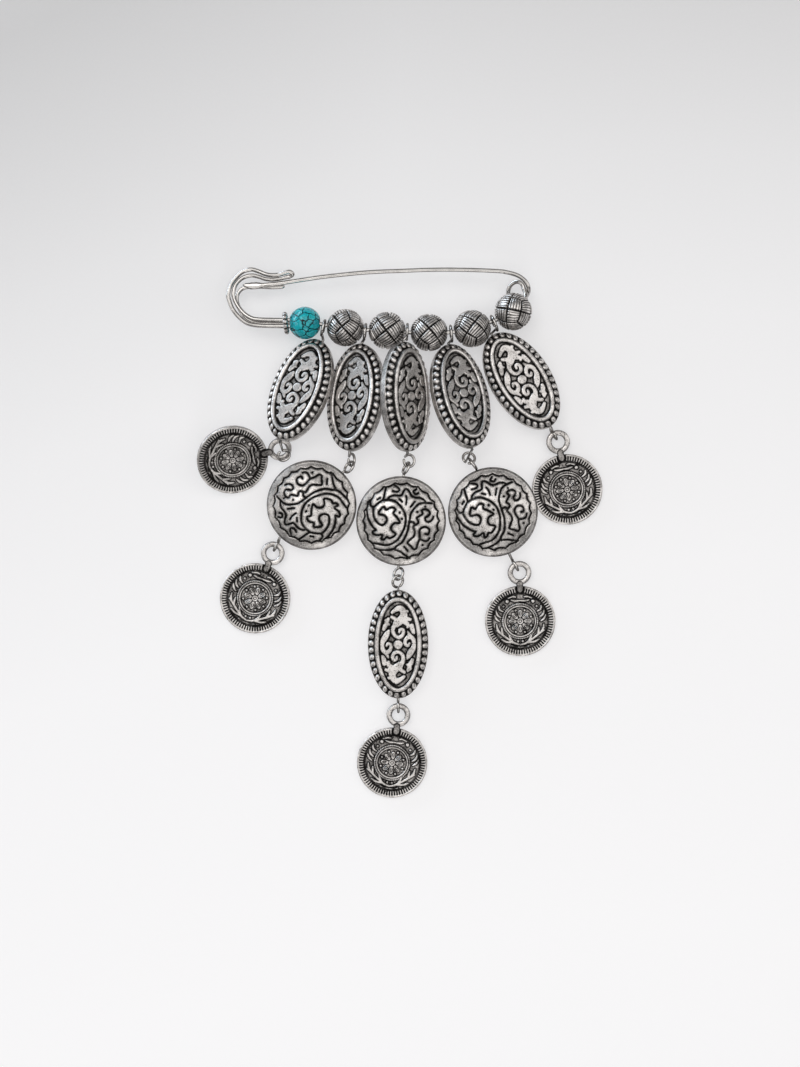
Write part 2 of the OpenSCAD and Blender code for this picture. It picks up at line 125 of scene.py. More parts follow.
COIL = [
    (33.7, 77.8, 0), (35.6, 77.1, 0), (37.4, 75.8, -0.2), (38.5, 74.2, -0.6), (38.7, 72.7, -1.5),
    (38.0, 71.4, -2.8), (36.6, 70.7, -4.1), (34.9, 70.5, -4.9), (33.4, 71.2, -4.7), (32.8, 72.8, -4.1),
    (33.3, 74.6, -3.2), (34.6, 75.6, -2.5), (35.9, 75.6, -1.9), (36.9, 74.7, -1.4), (37.3, 73.3, -1.1),
    (37.8, 71.6, -0.6), (37.5, 69.9, -0.1), (36.0, 68.3, 0),
]
BAR = [
    (34.0, 66.4, 0), (31.4, 65.0, 0), (27.8, 63.5, 0), (21.7, 61.3, 0), (15.4, 60.3, 0), (8.8, 60.1, 0),
    (2.2, 60.2, 0), (-3.8, 60.7, 0), (-10.1, 61.0, 0), (-16.3, 61.6, 0), (-22.4, 62.4, 0),
    (-28.4, 63.6, 0.4), (-34.4, 63.8, 0.3),
]
INNER_BOW = [
    (-38.3, 63.9, 0.3), (-41.9, 64.0, 0.3), (-44.3, 64.4, 0.2), (-46.6, 65.8, 0), (-48.4, 67.9, -0.2),
    (-49.5, 70.0, -0.3), (-49.9, 72.1, -0.3), (-49.0, 74.8, -0.3), (-47.0, 76.6, -0.3), (-44.5, 77.3, -0.3),
    (-42.2, 76.9, -0.4), (-40.4, 76.3, -0.5), (-38.6, 76.1, -0.5), (-36.5, 76.3, -0.5), (-34.4, 76.7, -0.4),
    (-32.9, 77.0, -0.3),
]
HOOK_TIP = [(-32.1, 77.6, 0.2)]
OUTER_BOW = [
    (-32.9, 78.2, 0.7), (-34.4, 77.9, 0.8), (-36.5, 77.3, 0.8), (-38.6, 77.2, 0.8), (-40.4, 77.6, 0.8),
    (-42.4, 78.4, 0.7), (-44.6, 78.9, 0.7), (-47.5, 77.9, 0.7), (-50.2, 74.9, 0.7), (-51.3, 71.5, 0.7),
    (-50.9, 69.4, 0.7), (-50.0, 67.1, 0.7), (-48.5, 65.1, 0.7), (-46.6, 63.4, 0.6), (-44.6, 62.5, 0.5),
    (-41.3, 62.1, 0.4), (-35.6, 62.0, 0.4), (-30.5, 61.9, 0.4),
]
BACK_TURN = [(-29.6, 62.1, -0.5)]
UNDER_WIRE = [
    (-30.5, 62.4, -1.3), (-35.6, 62.9, -1.2), (-41.3, 63.0, -1.2), (-44.3, 63.6, -1.2), (-46.6, 65.1, -1.4),
    (-48.1, 67.3, -1.6), (-49.0, 69.7, -1.7), (-48.8, 71.8, -1.7), (-47.6, 73.4, -1.7), (-45.5, 74.1, -1.6),
    (-41.3, 74.1, -1.6), (-38.3, 74.0, -1.6), (-35.2, 74.2, -1.6),
]
STEM = [
    (31.5, 78.3, 0), (30.1, 78.5, 0), (24.1, 78.8, 0), (15.1, 79.0, 0), (7.6, 78.9, 0), (0.1, 78.6, 0),
    (-5.9, 78.4, 0), (-11.9, 78.0, 0), (-17.9, 77.4, 0), (-23.9, 76.7, 0), (-29.9, 75.8, 0),
    (-34.4, 75.1, 0), (-38.3, 74.6, 0), (-41.0, 74.4, 0), (-42.8, 74.2, 0), (-44.6, 74.1, 0),
    (-46.2, 74.3, 0), (-47.0, 74.4, 0),
]
# The stem's own wire ends at the first x. The spring wire at the coil follows the stem up to the second
BRIDGE_X = (30.6, 31.5)
# Flattened point of the stem: x, half width, half thickness
STEM_POINT = [
    (-47.0, 0.12, 0.12), (-46.2, 0.6, 0.3), (-44.6, 1.05, 0.35), (-42.8, 1.05, 0.4), (-41.0, 0.6, 0.5),
    (-38.3, 0.65, 0.65),
]

# Woven balls: x, y, directions of the bar to the left and right, turns about X, Y and Z
BALLS = [
    (-16.3, 61.6, 174, -6, 13, -47, -58),
    (-3.8, 60.7, 176, -4, 87, 6, -142),
    (8.8, 60.1, 181, 1, 86, -6, -47),
    (21.7, 61.3, 190, 20, 74, -4, -36),
    (34.0, 66.4, 208, 47, 176, 23, 167),
]
# Turquoise bead: x, y. Daisy spacer: x, y, lean on its wires
TURQUOISE = (-28.4, 63.0)
SPACER = (-34.15, 63.0, 6)

# Oval drops: x, y, lean of the top to the right, roll, rise of the lower end, bore shift, lift where the
# drop leans on its neighbour
OVALS = [
    (-29.75, 42.85, 19.4, 21.1, 8.6, 1.2, 0), (-13.15, 40.65, 6.2, 25.4, 5.9, 0, 0),
    (1.7, 40.6, -2.1, -42.6, 0, 0, 1.2), (18.05, 41.0, -11.9, -26, 12, 0, 0),
    (36.5, 45.75, -32.2, -4, 3, 0, 0), (-0.5, -33.35, 0, 0, 0, 0, 0),
]
# Disc drops: height of the bore, then for each x, y, direction of the bore, turn of the engraving
DISC_Z = 4.0
DISCS = [(-26.5, 8.5, 46, 136), (0.4, 3.7, 86.6, 0), (28.0, 6.4, 111.4, 28)]
# Coin drops: x, y, direction to the ring, roll about it, lift of the ring end
COINS = [
    (-50.3, 22.3, 13, 25, -8), (-43.7, -19.6, 68.5, 0, 3.3), (-2.3, -69.3, 82.5, 0, 3.3),
    (36.4, -26.5, 91, 0, 3.3), (50.6, 13.3, 101, 0, 3.3),
]
# Hanging ring of a coin: distance of its middle from the coin's, radius of its centre line, thickness
RING_REACH = 14.6
RING_MIDDLE = 2.775
RING_T = 1.2
# Tab that holds a coin's ring: lower and upper middle of its round ends, half width
TAB = (9.6, 11.3, 1.0)
# Eye pins: radius of a loop, of a loop round the bar, and how far the shaft stands out of its drop
LOOP_R = 1.8
BAR_LOOP_R = 2.3
SHAFT_OUT = 0.6
# Steps that a wire's curve takes from one of its points to the next
WIRE_STEPS = 6
# Filed end of a wire: how far out and how thick, as shares of its radius
WIRE_END = [(0.5, 0.86), (0.85, 0.52), (0.98, 0.18)]

# Turn of an oval drop's scrolls against its long axis
RELIEF_TURN = -2.4
# Relief of an oval drop's upper half, the same turned half round: rows of x, y, half width
OVAL_SCROLLS = [
    [(-1.0, 6.1, 0.69), (-1.7, 4.8, 0.57), (-1.6, 3.5, 0.53), (-1.0, 2.6, 0.50), (0.1, 2.2, 0.48),
     (1.1, 2.7, 0.48), (1.5, 3.8, 0.48), (1.1, 4.6, 0.46), (0.4, 4.5, 0.39), (0.2, 3.7, 0.30)],
    [(-0.7, 6.2, 1.03), (0.4, 7.2, 1.15), (1.3, 8.6, 1.09), (1.1, 10.0, 0.92), (0.2, 10.9, 0.86),
     (-1.0, 10.5, 0.63), (-2.2, 9.5, 0.41)],
    [(-2.1, 8.1, 0.52), (-1.2, 7.6, 0.57), (-0.3, 6.7, 0.80)],
    [(1.6, 10.0, 0.57), (2.4, 10.1, 0.41)],
    [(1.6, 8.1, 0.69), (3.3, 7.7, 0.46)],
    [(1.6, 7.0, 0.80), (2.6, 6.1, 0.57), (2.6, 5.3, 0.34)],
    [(-3.2, 7.7, 0.35), (-3.6, 6.9, 0.66), (-3.8, 6.0, 0.52), (-4.2, 5.2, 0.66), (-4.5, 4.3, 0.40)],
    [(-4.0, 7.2, 0.3), (-4.1, 7.1, 0.3)],
    [(-3.1, 6.0, 0.34), (-3.0, 5.9, 0.34)],
    [(3.9, 5.8, 0.69), (4.1, 4.9, 0.76), (4.5, 3.9, 0.57)],
    [(-2.9, 4.2, 0.20), (-3.4, 3.1, 0.72), (-4.0, 1.9, 0.86), (-4.6, 0.8, 0.72), (-4.8, -0.3, 0.6),
     (-4.6, -1.5, 0.62), (-3.8, -2.4, 0.64), (-2.7, -2.2, 0.57), (-2.1, -1.2, 0.50), (-2.2, -0.1, 0.46),
     (-3.0, 0.2, 0.41), (-3.4, -0.5, 0.30)],
    [(-3.5, -2.7, 0.57), (-2.8, -4.0, 0.23)],
]
# Engraved lines of a disc drop: rows of x, y
DISC_LINES = [
    [(-4.4, 10.2), (-4.8, 8.8), (-5.2, 6.9), (-5.6, 6.2), (-7.1, 5.0), (-8.2, 3.9), (-8.3, 2.0),
     (-7.8, 0.4), (-6.7, -0.9), (-5.6, -1.3), (-4.6, -0.5), (-4.3, 0.6), (-5.0, 1.6), (-6.5, 2.0),
     (-6.6, 2.7), (-5.9, 3.6), (-5.1, 4.2), (-4.4, 3.3), (-3.5, 3.8), (-2.5, 4.0), (-1.7, 3.3),
     (-2.3, 2.3), (-1.4, 1.2), (-0.4, -0.3), (-0.7, -0.7), (-1.9, -0.7), (-2.9, -1.7), (-2.9, -2.8),
     (-1.7, -3.8), (-2.1, -4.6), (-3.5, -5.2), (-4.3, -4.8), (-5.0, -5.5), (-5.9, -5.5), (-5.7, -4.2),
     (-7.3, -4.3), (-8.4, -3.8), (-8.4, -3.1), (-7.5, -2.8), (-8.4, -1.9), (-9.4, -0.3), (-10.0, 1.2),
     (-10.3, 3.9)],
    [(-5.6, 6.1), (-3.8, 6.3), (-1.7, 5.8), (-0.2, 4.4), (0.9, 2.7), (1.4, 0.8), (1.1, -1.7),
     (0.4, -3.4), (-0.6, -5.1), (-2.1, -6.5), (-4.4, -7.3), (-6.5, -7.0), (-8.1, -6.7)],
    [(-7.1, -8.6), (-6.5, -8.7), (-4.0, -8.8), (-2.3, -8.4), (-1.4, -7.6), (0.2, -6.5), (1.1, -5.1),
     (1.9, -3.2), (2.3, -1.3), (2.6, 0.4), (3.0, 2.3), (4.0, 3.7), (5.3, 5.0), (6.9, 5.4), (9.2, 5.3)],
    [(-3.9, 6.4), (-3.5, 7.1), (-2.1, 7.7), (0.0, 7.6), (0.6, 8.6), (1.5, 9.6), (2.5, 8.8), (3.2, 7.5),
     (4.4, 7.0), (5.7, 6.9), (6.9, 6.2), (7.3, 5.4)],
    [(1.5, 7.5), (1.7, 6.4), (1.5, 5.0)],
    [(-0.5, 6.5), (0.3, 5.8)],
    [(4.1, 5.7), (2.9, 4.2)],
    [(-2.5, 9.0), (-1.5, 8.7), (-0.6, 9.0), (-0.7, 9.8), (-1.9, 10.7)],
    [(4.6, 9.5), (3.8, 9.0), (3.8, 8.5), (4.5, 8.0), (5.2, 8.4)],
    [(-9.2, 6.2), (-9.1, 4.6), (-8.1, 4.2), (-7.1, 5.1), (-5.6, 6.1)],
    [(-7.1, 6.4), (-6.3, 6.9)],
    [(2.6, -0.3), (3.6, -0.4), (4.2, -1.1), (5.1, -0.7), (5.1, 0.0), (4.7, 0.8), (5.5, 1.4), (6.4, 2.1),
     (6.2, 3.1), (7.3, 3.5), (8.4, 2.9), (8.6, 2.1), (8.0, 1.4), (7.3, 1.0), (7.3, 0.1), (8.2, -0.3),
     (9.2, 0.2), (9.7, 1.2)],
    [(4.2, -1.1), (3.7, -1.9), (4.1, -3.4), (3.8, -4.7), (2.9, -5.5), (1.9, -6.6), (2.9, -7.6),
     (3.8, -8.5), (4.6, -8.2), (5.0, -6.7), (5.6, -5.3), (5.5, -3.6), (5.8, -2.4), (7.1, -1.8),
     (8.2, -2.3), (8.5, -3.2), (8.1, -4.0), (7.3, -3.9)],
    [(5.6, -5.4), (6.9, -6.0), (8.0, -5.9), (8.5, -5.2)],
    [(-2.1, -8.5), (-0.2, -9.3), (0.9, -10.1), (2.5, -11.2)],
    [(0.9, -7.8), (1.9, -9.0)],
    [(7.2, 4.3), (7.2, 4.2)],
    [(4.8, 2.7), (4.9, 2.6)],
    [(6.4, -7.2), (6.5, -7.3)],
    [(-0.4, 2.5), (-0.4, 2.4)],
    [(0.2, 0.6), (0.3, 0.5)],
]
# Right half of a coin's wreath and of the sprays over it, mirrored for the left: rows of x, y, half width
COIN_SPRAYS = [
    [(-0.9, -7.3, 0.16), (1.0, -6.9, 0.2), (2.3, -6.3, 0.24), (5.0, -4.4, 0.22), (7.2, -2.8, 0.12)],
    [(2.3, -6.3, 0.15), (2.9, -5.4, 0.24), (3.4, -4.4, 0.1)],
    [(2.4, -6.5, 0.15), (4.3, -6.2, 0.22), (5.6, -5.5, 0.1)],
    [(5.2, -4.3, 0.15), (5.5, -3.2, 0.26), (5.6, -1.9, 0.1)],
    [(6.1, -3.4, 0.12), (6.9, -2.3, 0.26), (7.1, -1.0, 0.1)],
    [(6.3, 0.0, 0.12), (7.2, 0.7, 0.24), (7.7, 1.8, 0.1)],
    [(5.9, 1.2, 0.12), (6.9, 2.0, 0.24), (7.2, 3.2, 0.1)],
    [(5.2, 3.0, 0.12), (6.2, 3.6, 0.24), (6.4, 4.7, 0.1)],
    [(0.0, 6.3, 0.14), (1.4, 6.2, 0.22), (2.6, 6.4, 0.14)],
    [(1.3, 7.4, 0.12), (2.4, 7.5, 0.2), (3.5, 7.0, 0.12)],
    [(0.2, -7.9, 0.12), (1.5, -8.0, 0.18), (2.6, -7.5, 0.1)],
]
# Dots of a coin, right half: x, y, radius
COIN_DOTS = [(3.9, 6.0, 0.42), (5.0, 4.5, 0.26), (0.7, -6.1, 0.26), (4.4, 7.0, 0.2)]


# Geometry helpers


def smooth_rows(rows, steps):
    """A smooth curve through rows of numbers, with so many steps between two rows."""
    p = np.array(rows, float)
    if len(p) < 3:
        return p
    before = np.vstack([p[:1], p[:-2]])
    after = np.vstack([p[2:], p[-1:]])
    t = (np.arange(steps) / steps)[None, :, None]
    a, b, c, d = before[:, None], p[:-1][:, None], p[1:][:, None], after[:, None]
    curve = 0.5 * (2 * b + (c - a) * t + (2 * a - 5 * b + 4 * c - d) * t**2 + (3 * b - a - 3 * c + d) * t**3)
    return np.vstack([curve.reshape(-1, p.shape[1]), p[-1:]])


def turned(points, *steps):
    """Points turned about the axes in order: each step is an axis and degrees."""
    points = np.array(points, float)
    for axis, degrees in steps:
        c, s = math.cos(math.radians(degrees)), math.sin(math.radians(degrees))
        turn = {
            "X": ((1, 0, 0), (0, c, -s), (0, s, c)),
            "Y": ((c, 0, s), (0, 1, 0), (-s, 0, c)),
            "Z": ((c, -s, 0), (s, c, 0), (0, 0, 1)),
        }[axis]
        points = points @ np.array(turn).T
    return points


def direction(azimuth, rise=0.0):
    """A unit vector by its turn from +X and its rise, in degrees."""
    a, r = math.radians(azimuth), math.radians(rise)
    return np.array([math.cos(a) * math.cos(r), math.sin(a) * math.cos(r), math.sin(r)])


def unit(v):
    """A vector's direction, with length 1."""
    return np.array(v, float) / np.linalg.norm(v)


def ease(low, high, value):
    """0 under low, 1 over high, smooth between."""
    t = np.clip((value - low) / (high - low), 0, 1)
    return t * t * (3 - 2 * t)


def stroke_distance(x, y, strokes):
    """How far each point lies outside the nearest stroke. A stroke is rows of x, y, half width."""
    nearest = np.full(x.shape, 99.0)
    for stroke in strokes:
        rows = smooth_rows(stroke, 4)
        for (ax, ay, aw), (bx, by, bw) in zip(rows[:-1], rows[1:]):
            dx, dy = bx - ax, by - ay
            t = np.clip(((x - ax) * dx + (y - ay) * dy) / max(dx * dx + dy * dy, 1e-9), 0, 1)
            off = np.hypot(x - ax - t * dx, y - ay - t * dy) - (aw + (bw - aw) * t)
            nearest = np.minimum(nearest, off)
    return nearest


def stipple(x, y, waves, bend):
    """An uneven stipple from 0 to 1, by four wave numbers and how far the waves bend."""
    a, b, c, d = waves
    return 0.5 + 0.5 * np.sin(x * a + bend * np.sin(y * b)) * np.sin(y * c + bend * np.sin(x * d))


def grid_faces(ids):
    """The four-sided faces of a grid of point numbers."""
    return np.stack([ids[:-1, :-1], ids[1:, :-1], ids[1:, 1:], ids[:-1, 1:]], -1).reshape(-1, 4)


def plaque(half, core_inset, across, along, insets):
    """An elliptical plaque seen from above: a grid in the middle and rings outside it.

    Returns x and y of all points, the number of points in the grid, the point numbers of each ring and
    the faces. The last ring is closed by one face that looks down."""
    a, b = half
    table = np.linspace(0, 2 * math.pi, 4001)
    step = np.hypot(a * np.sin(table), b * np.cos(table))
    gone = np.concatenate([[0], np.cumsum((step[1:] + step[:-1]) / 2)])
    gone /= gone[-1]
    columns = 2 * (across + along)

    def angle(k):
        """Angle of a column, so that all columns are equally far apart along the edge."""
        share = np.mod((k - across / 2) / columns + 0.75, 1)
        return np.interp(share, gone, table)

    u, v = np.meshgrid(np.linspace(-1, 1, across + 1), np.linspace(-1, 1, along + 1), indexing="ij")
    scale = np.maximum(np.abs(u), np.abs(v))
    safe = np.where(scale == 0, 1, scale)
    right = across + along * (1 + v / safe) / 2
    left = 2 * across + along + along * (1 - v / safe) / 2
    upper = across + along + across * (1 - u / safe) / 2
    lower = across * (1 + u / safe) / 2
    sideways = np.abs(u) >= np.abs(v)
    theta = angle(np.where(sideways, np.where(u > 0, right, left), np.where(v > 0, upper, lower)))
    xs = [((a - core_inset) * scale * np.cos(theta)).ravel()]
    ys = [((b - core_inset) * scale * np.sin(theta)).ravel()]
    ring_theta = angle(np.arange(columns))
    for inset in insets:
        xs.append((a - inset) * np.cos(ring_theta))
        ys.append((b - inset) * np.sin(ring_theta))

    ids = np.arange((across + 1) * (along + 1)).reshape(across + 1, along + 1)
    faces = [grid_faces(ids)]
    loop = np.concatenate([ids[:-1, 0], ids[-1, :-1], ids[:0:-1, -1], ids[0, :0:-1]])
    rings = ids.size + np.arange(len(insets) * columns).reshape(-1, columns)
    for outer in rings:
        faces.append(np.stack([loop, outer, np.roll(outer, -1), np.roll(loop, -1)], -1))
        loop = outer
    faces = np.vstack(faces).tolist() + [loop[::-1].tolist()]
    return np.concatenate(xs), np.concatenate(ys), ids.size, rings, faces


def deselect():
    """Leaves nothing selected, in object mode."""
    if bpy.context.object and bpy.context.object.mode != "OBJECT":
        bpy.ops.object.mode_set(mode="OBJECT")
    bpy.ops.object.select_all(action="DESELECT")


def pick(*pieces):
    """Selects these pieces alone. The first one is active."""
    deselect()
    for piece in pieces:
        piece.select_set(True)
    bpy.context.view_layer.objects.active = pieces[0]


def mesh_piece(name, points, faces, patina_and_shade):
    """A smooth mesh object from points in millimetres, with its oxide and any painted shade."""
    mesh = bpy.data.meshes.new(name)
    mesh.from_pydata((np.asarray(points) * MM).tolist(), [], faces)
    mesh.validate()
    mesh.shade_smooth()
    attribute = mesh.attributes.new("patina_and_shade", "FLOAT", "POINT")
    attribute.data.foreach_set("value", np.asarray(patina_and_shade, np.float32))
    piece = bpy.data.objects.new(name, mesh)
    bpy.context.collection.objects.link(piece)
    return piece


def active_piece(name):
    """The object just added, named, with its place and size applied to its mesh."""
    piece = bpy.context.object
    piece.name = piece.data.name = name
    bpy.ops.object.transform_apply(location=True, rotation=True, scale=True)
    return piece


def join_pieces(*pieces):
    """Several meshes made one, under the first one's name."""
    pick(*pieces)
    bpy.ops.object.join()
    deselect()
    return pieces[0]


def apply_modifier(piece, kind, **settings):
    """Adds a modifier to a piece and applies it."""
    pick(piece)
    modifier = piece.modifiers.new(kind.title(), kind)
    for key, value in settings.items():
        setattr(modifier, key, value)
    bpy.ops.object.modifier_apply(modifier=modifier.name)
    deselect()


def smooth_by_angle(piece, degrees):
    """Smooths a piece, except across its edges that turn by more than this."""
    piece.data.shade_smooth()
    pick(piece)
    bpy.ops.object.shade_smooth_by_angle(angle=math.radians(degrees))
    deselect()


def read_rows(piece, key):
    """The places (co) or normals of a mesh's points, as rows of x, y and z."""
    flat = np.zeros(len(piece.data.vertices) * 3, np.float32)
    piece.data.vertices.foreach_get(key, flat)
    return flat.reshape(-1, 3)


def move_points(piece, shift):
    """Moves a mesh's points by a function of their places in millimetres."""
    points = shift(read_rows(piece, "co").astype(float) / MM) * MM
    piece.data.vertices.foreach_set("co", points.astype(np.float32).ravel())
    piece.data.update()


def give_patina_and_shade(piece, amount):
    """Gives a mesh its darkening by a function of its points' places in millimetres: oxide on the castings,
    painted shade on the wires and the coins' rings.
    """
    attribute = piece.data.attributes.new("patina_and_shade", "FLOAT", "POINT")
    attribute.data.foreach_set("value", amount(read_rows(piece, "co") / MM).astype(np.float32))


def bent_wire(name, path, diameter, radii=None, filed=True, film_and_side_shade=0.66):
    """A round wire along points in millimetres, its ends filed round. Painted shade darkens its sides and is
    gone where the upright part of the surface's normal reaches the given level."""
    path = np.array(path, float)
    radii = np.ones(len(path)) if radii is None else np.array(radii, float)
    if filed:
        for end, nxt in ((0, 1), (-1, -2)):
            out = unit(path[end] - path[nxt]) * diameter / 2 * radii[end]
            caps = [path[end] + out * far for far, _ in WIRE_END]
            sizes = [radii[end] * thick for _, thick in WIRE_END]
            if end == 0:
                path, radii = np.vstack([caps[::-1], path]), np.concatenate([sizes[::-1], radii])
            else:
                path, radii = np.vstack([path, caps]), np.concatenate([radii, sizes])
    deselect()
    bpy.ops.curve.primitive_nurbs_path_add()
    curve = bpy.context.object.data
    curve.splines.clear()
    curve.dimensions = "3D"
    curve.bevel_depth = diameter / 2 * MM
    curve.bevel_resolution = 5
    curve.use_fill_caps = True
    spline = curve.splines.new("POLY")
    spline.points.add(len(path) - 1)
    spline.points.foreach_set("co", np.hstack([path * MM, np.ones((len(path), 1))]).ravel())
    spline.points.foreach_set("radius", radii)
    bpy.ops.object.convert(target="MESH")
    wire = bpy.context.object
    wire.name = wire.data.name = name
    wire.data.shade_smooth()
    upright = np.abs(read_rows(wire, "normal")[:, 2])
    # Painted shade: the sides of the wire, where its normal is far from upright, are darker
    give_patina_and_shade(wire, lambda p: 0.9 * (1 - ease(film_and_side_shade - 0.4, film_and_side_shade, upright)))
    deselect()
    return wire


def drill(piece, start, end, radius):
    """Cuts a round hole from one point to another."""
    start, end = np.array(start, float), np.array(end, float)
    deselect()
    bpy.ops.mesh.primitive_cylinder_add(
        vertices=40, radius=radius * MM, depth=float(np.linalg.norm(end - start)) * MM,
        location=tuple((start + end) / 2 * MM),
        rotation=(0, math.acos(unit(end - start)[2]), math.atan2(*(end - start)[1::-1])),
    )
    cutter = active_piece("drill")
    apply_modifier(piece, "BOOLEAN", operation="DIFFERENCE", solver="EXACT", object=cutter)
    bpy.data.objects.remove(cutter)


# Materials


def add_node(tree, kind, inputs=None, **settings):
    """Adds a node, sets its fields and gives its inputs a value or a link."""
    node = tree.nodes.new(kind)
    for key, value in settings.items():
        setattr(node, key, value)
    for key, value in (inputs or {}).items():
        if isinstance(value, bpy.types.NodeSocket):
            tree.links.new(value, node.inputs[key])
        else:
            node.inputs[key].default_value = value
    return node


def new_material(name):
    """A material without nodes. Returns it, its tree and the places on Object coordinates."""
    material = bpy.data.materials.new(name)
    material.use_nodes = True
    tree = material.node_tree
    tree.nodes.clear()
    return material, tree, add_node(tree, "ShaderNodeTexCoord").outputs["Object"]


def end_material(tree, inputs):
    """Gives a material its main shader."""
    shader = add_node(tree, "ShaderNodeBsdfPrincipled", inputs)
    add_node(tree, "ShaderNodeOutputMaterial", {"Surface": shader.outputs["BSDF"]})


def set_ramp(ramp, stops):
    """Sets the stops of a ramp, each a place and a linear colour, and returns its colour."""
    elements = ramp.color_ramp.elements
    while len(elements) < len(stops):
        elements.new(0.5)
    for element, (place, shade) in zip(elements, stops):
        element.position = place
        element.color = (*shade, 1)
    return ramp.outputs["Color"]


def cast_silver():
    """Silver-plated casting, blackened and then rubbed: the oxide stays in the hollows, so the relief
    reads bright on near black, with a cloudy grey film over what is rubbed least."""
    name = "blackened_cast_silver"
    if name in bpy.data.materials:
        return bpy.data.materials[name]
    colours = bpy.context.scene.brooch_colours
    material, tree, place = new_material(name)
    # Clouds of thin tarnish 2.5 mm across, and casting grain 0.25 mm across, coarser than the real one so
    # that it shows
    film_and_side_shade, grain = [
        add_node(
            tree, "ShaderNodeTexNoise",
            {"Vector": place, "Scale": 1 / (size * MM), "Detail": detail, "Roughness": rough},
        ).outputs["Fac"]
        for size, detail, rough in ((2.5, 5.0, 0.65), (0.25, 3.0, 0.6))
    ]
    # Casting pits 0.7 mm apart that hold a little oxide
    pits = add_node(
        tree, "ShaderNodeTexVoronoi", {"Vector": place, "Scale": 1 / (0.7 * MM), "Randomness": 1.0}
    ).outputs["Distance"]
    # Oxide, and painted shade on the pieces that have it: what the piece's attribute says, and what each
    # pattern adds from one of its levels to another
    dark = add_node(tree, "ShaderNodeAttribute", attribute_name="patina_and_shade").outputs["Fac"]
    for pattern, low, high, first, last in (
        (film_and_side_shade, 0.35, 0.65, -0.14, 0.32),
        (grain, 0.35, 0.65, -0.16, 0.16),
        (pits, 0.12, 0.28, 0.5, 0.0),
    ):
        more = add_node(
            tree, "ShaderNodeMapRange",
            {"Value": pattern, "From Min": low, "From Max": high, "To Min": first, "To Max": last},
        ).outputs["Result"]
        dark = add_node(tree, "ShaderNodeMath", {0: dark, 1: more}, operation="ADD").outputs[0]
    dark = add_node(tree, "ShaderNodeClamp", {"Value": dark}).outputs[0]
    worn = tuple(colours.worn)
    deep = tuple(0.3 * w for w in worn)
    colour_of_dark = set_ramp(
        add_node(tree, "ShaderNodeValToRGB", {"Fac": dark}),
        [(0.0, tuple(colours.bright)), (0.35, worn), (0.72, deep), (1.0, tuple(colours.oxide))],
    )
    # The oxide is less of a metal than the rubbed silver, and duller
    metal, rough = [
        add_node(
            tree, "ShaderNodeMapRange",
            {"Value": dark, "From Min": low, "From Max": 1.0, "To Min": rubbed, "To Max": black},
        ).outputs["Result"]
        for low, rubbed, black in ((0.45, 1.0, 0.8), (0.0, 0.3, 0.62))
    ]
    bump = add_node(
        tree, "ShaderNodeBump", {"Height": grain, "Strength": 0.5, "Distance": 0.04 * MM}
    ).outputs["Normal"]
    end_material(tree, {"Base Color": colour_of_dark, "Metallic": metal, "Roughness": rough, "Normal": bump})
    return material


def plated_wire():
    """Silver-plated drawn wire: a smooth bright metal with faint draw marks, finger film and painted shade on
    its sides.
    """
    name = "plated_silver_wire"
    if name in bpy.data.materials:
        return bpy.data.materials[name]
    colours = bpy.context.scene.brooch_colours
    material, tree, place = new_material(name)
    # Film 3 mm across and draw marks 0.3 mm apart, drawn coarse so that they show
    film_and_side_shade, marks = [
        add_node(
            tree, "ShaderNodeTexNoise",
            {"Vector": place, "Scale": 1 / (size * MM), "Detail": detail, "Roughness": 0.5},
        ).outputs["Fac"]
        for size, detail in ((3, 3.0), (0.3, 2.0))
    ]
    bright = tuple(colours.wire)
    filmed = set_ramp(
        add_node(tree, "ShaderNodeValToRGB", {"Fac": film_and_side_shade}),
        [(0.3, tuple(0.8 * c for c in bright)), (0.62, bright)],
    )
    # Painted shade on the sides of the wire, from the mesh's darkening attribute
    side = add_node(tree, "ShaderNodeAttribute", attribute_name="patina_and_shade").outputs["Fac"]
    base = add_node(
        tree, "ShaderNodeMix", {"Factor": side, "A": filmed, "B": (*colours.film_and_side_shade, 1)}, data_type="RGBA"
    ).outputs["Result"]
    rough = add_node(
        tree, "ShaderNodeMapRange",
        {"Value": marks, "From Min": 0.3, "From Max": 0.7, "To Min": 0.1, "To Max": 0.2},
    ).outputs["Result"]
    bump = add_node(
        tree, "ShaderNodeBump", {"Height": marks, "Strength": 0.05, "Distance": 0.01 * MM}
    ).outputs["Normal"]
    end_material(tree, {"Base Color": base, "Metallic": 1.0, "Roughness": rough, "Normal": bump})
    return material


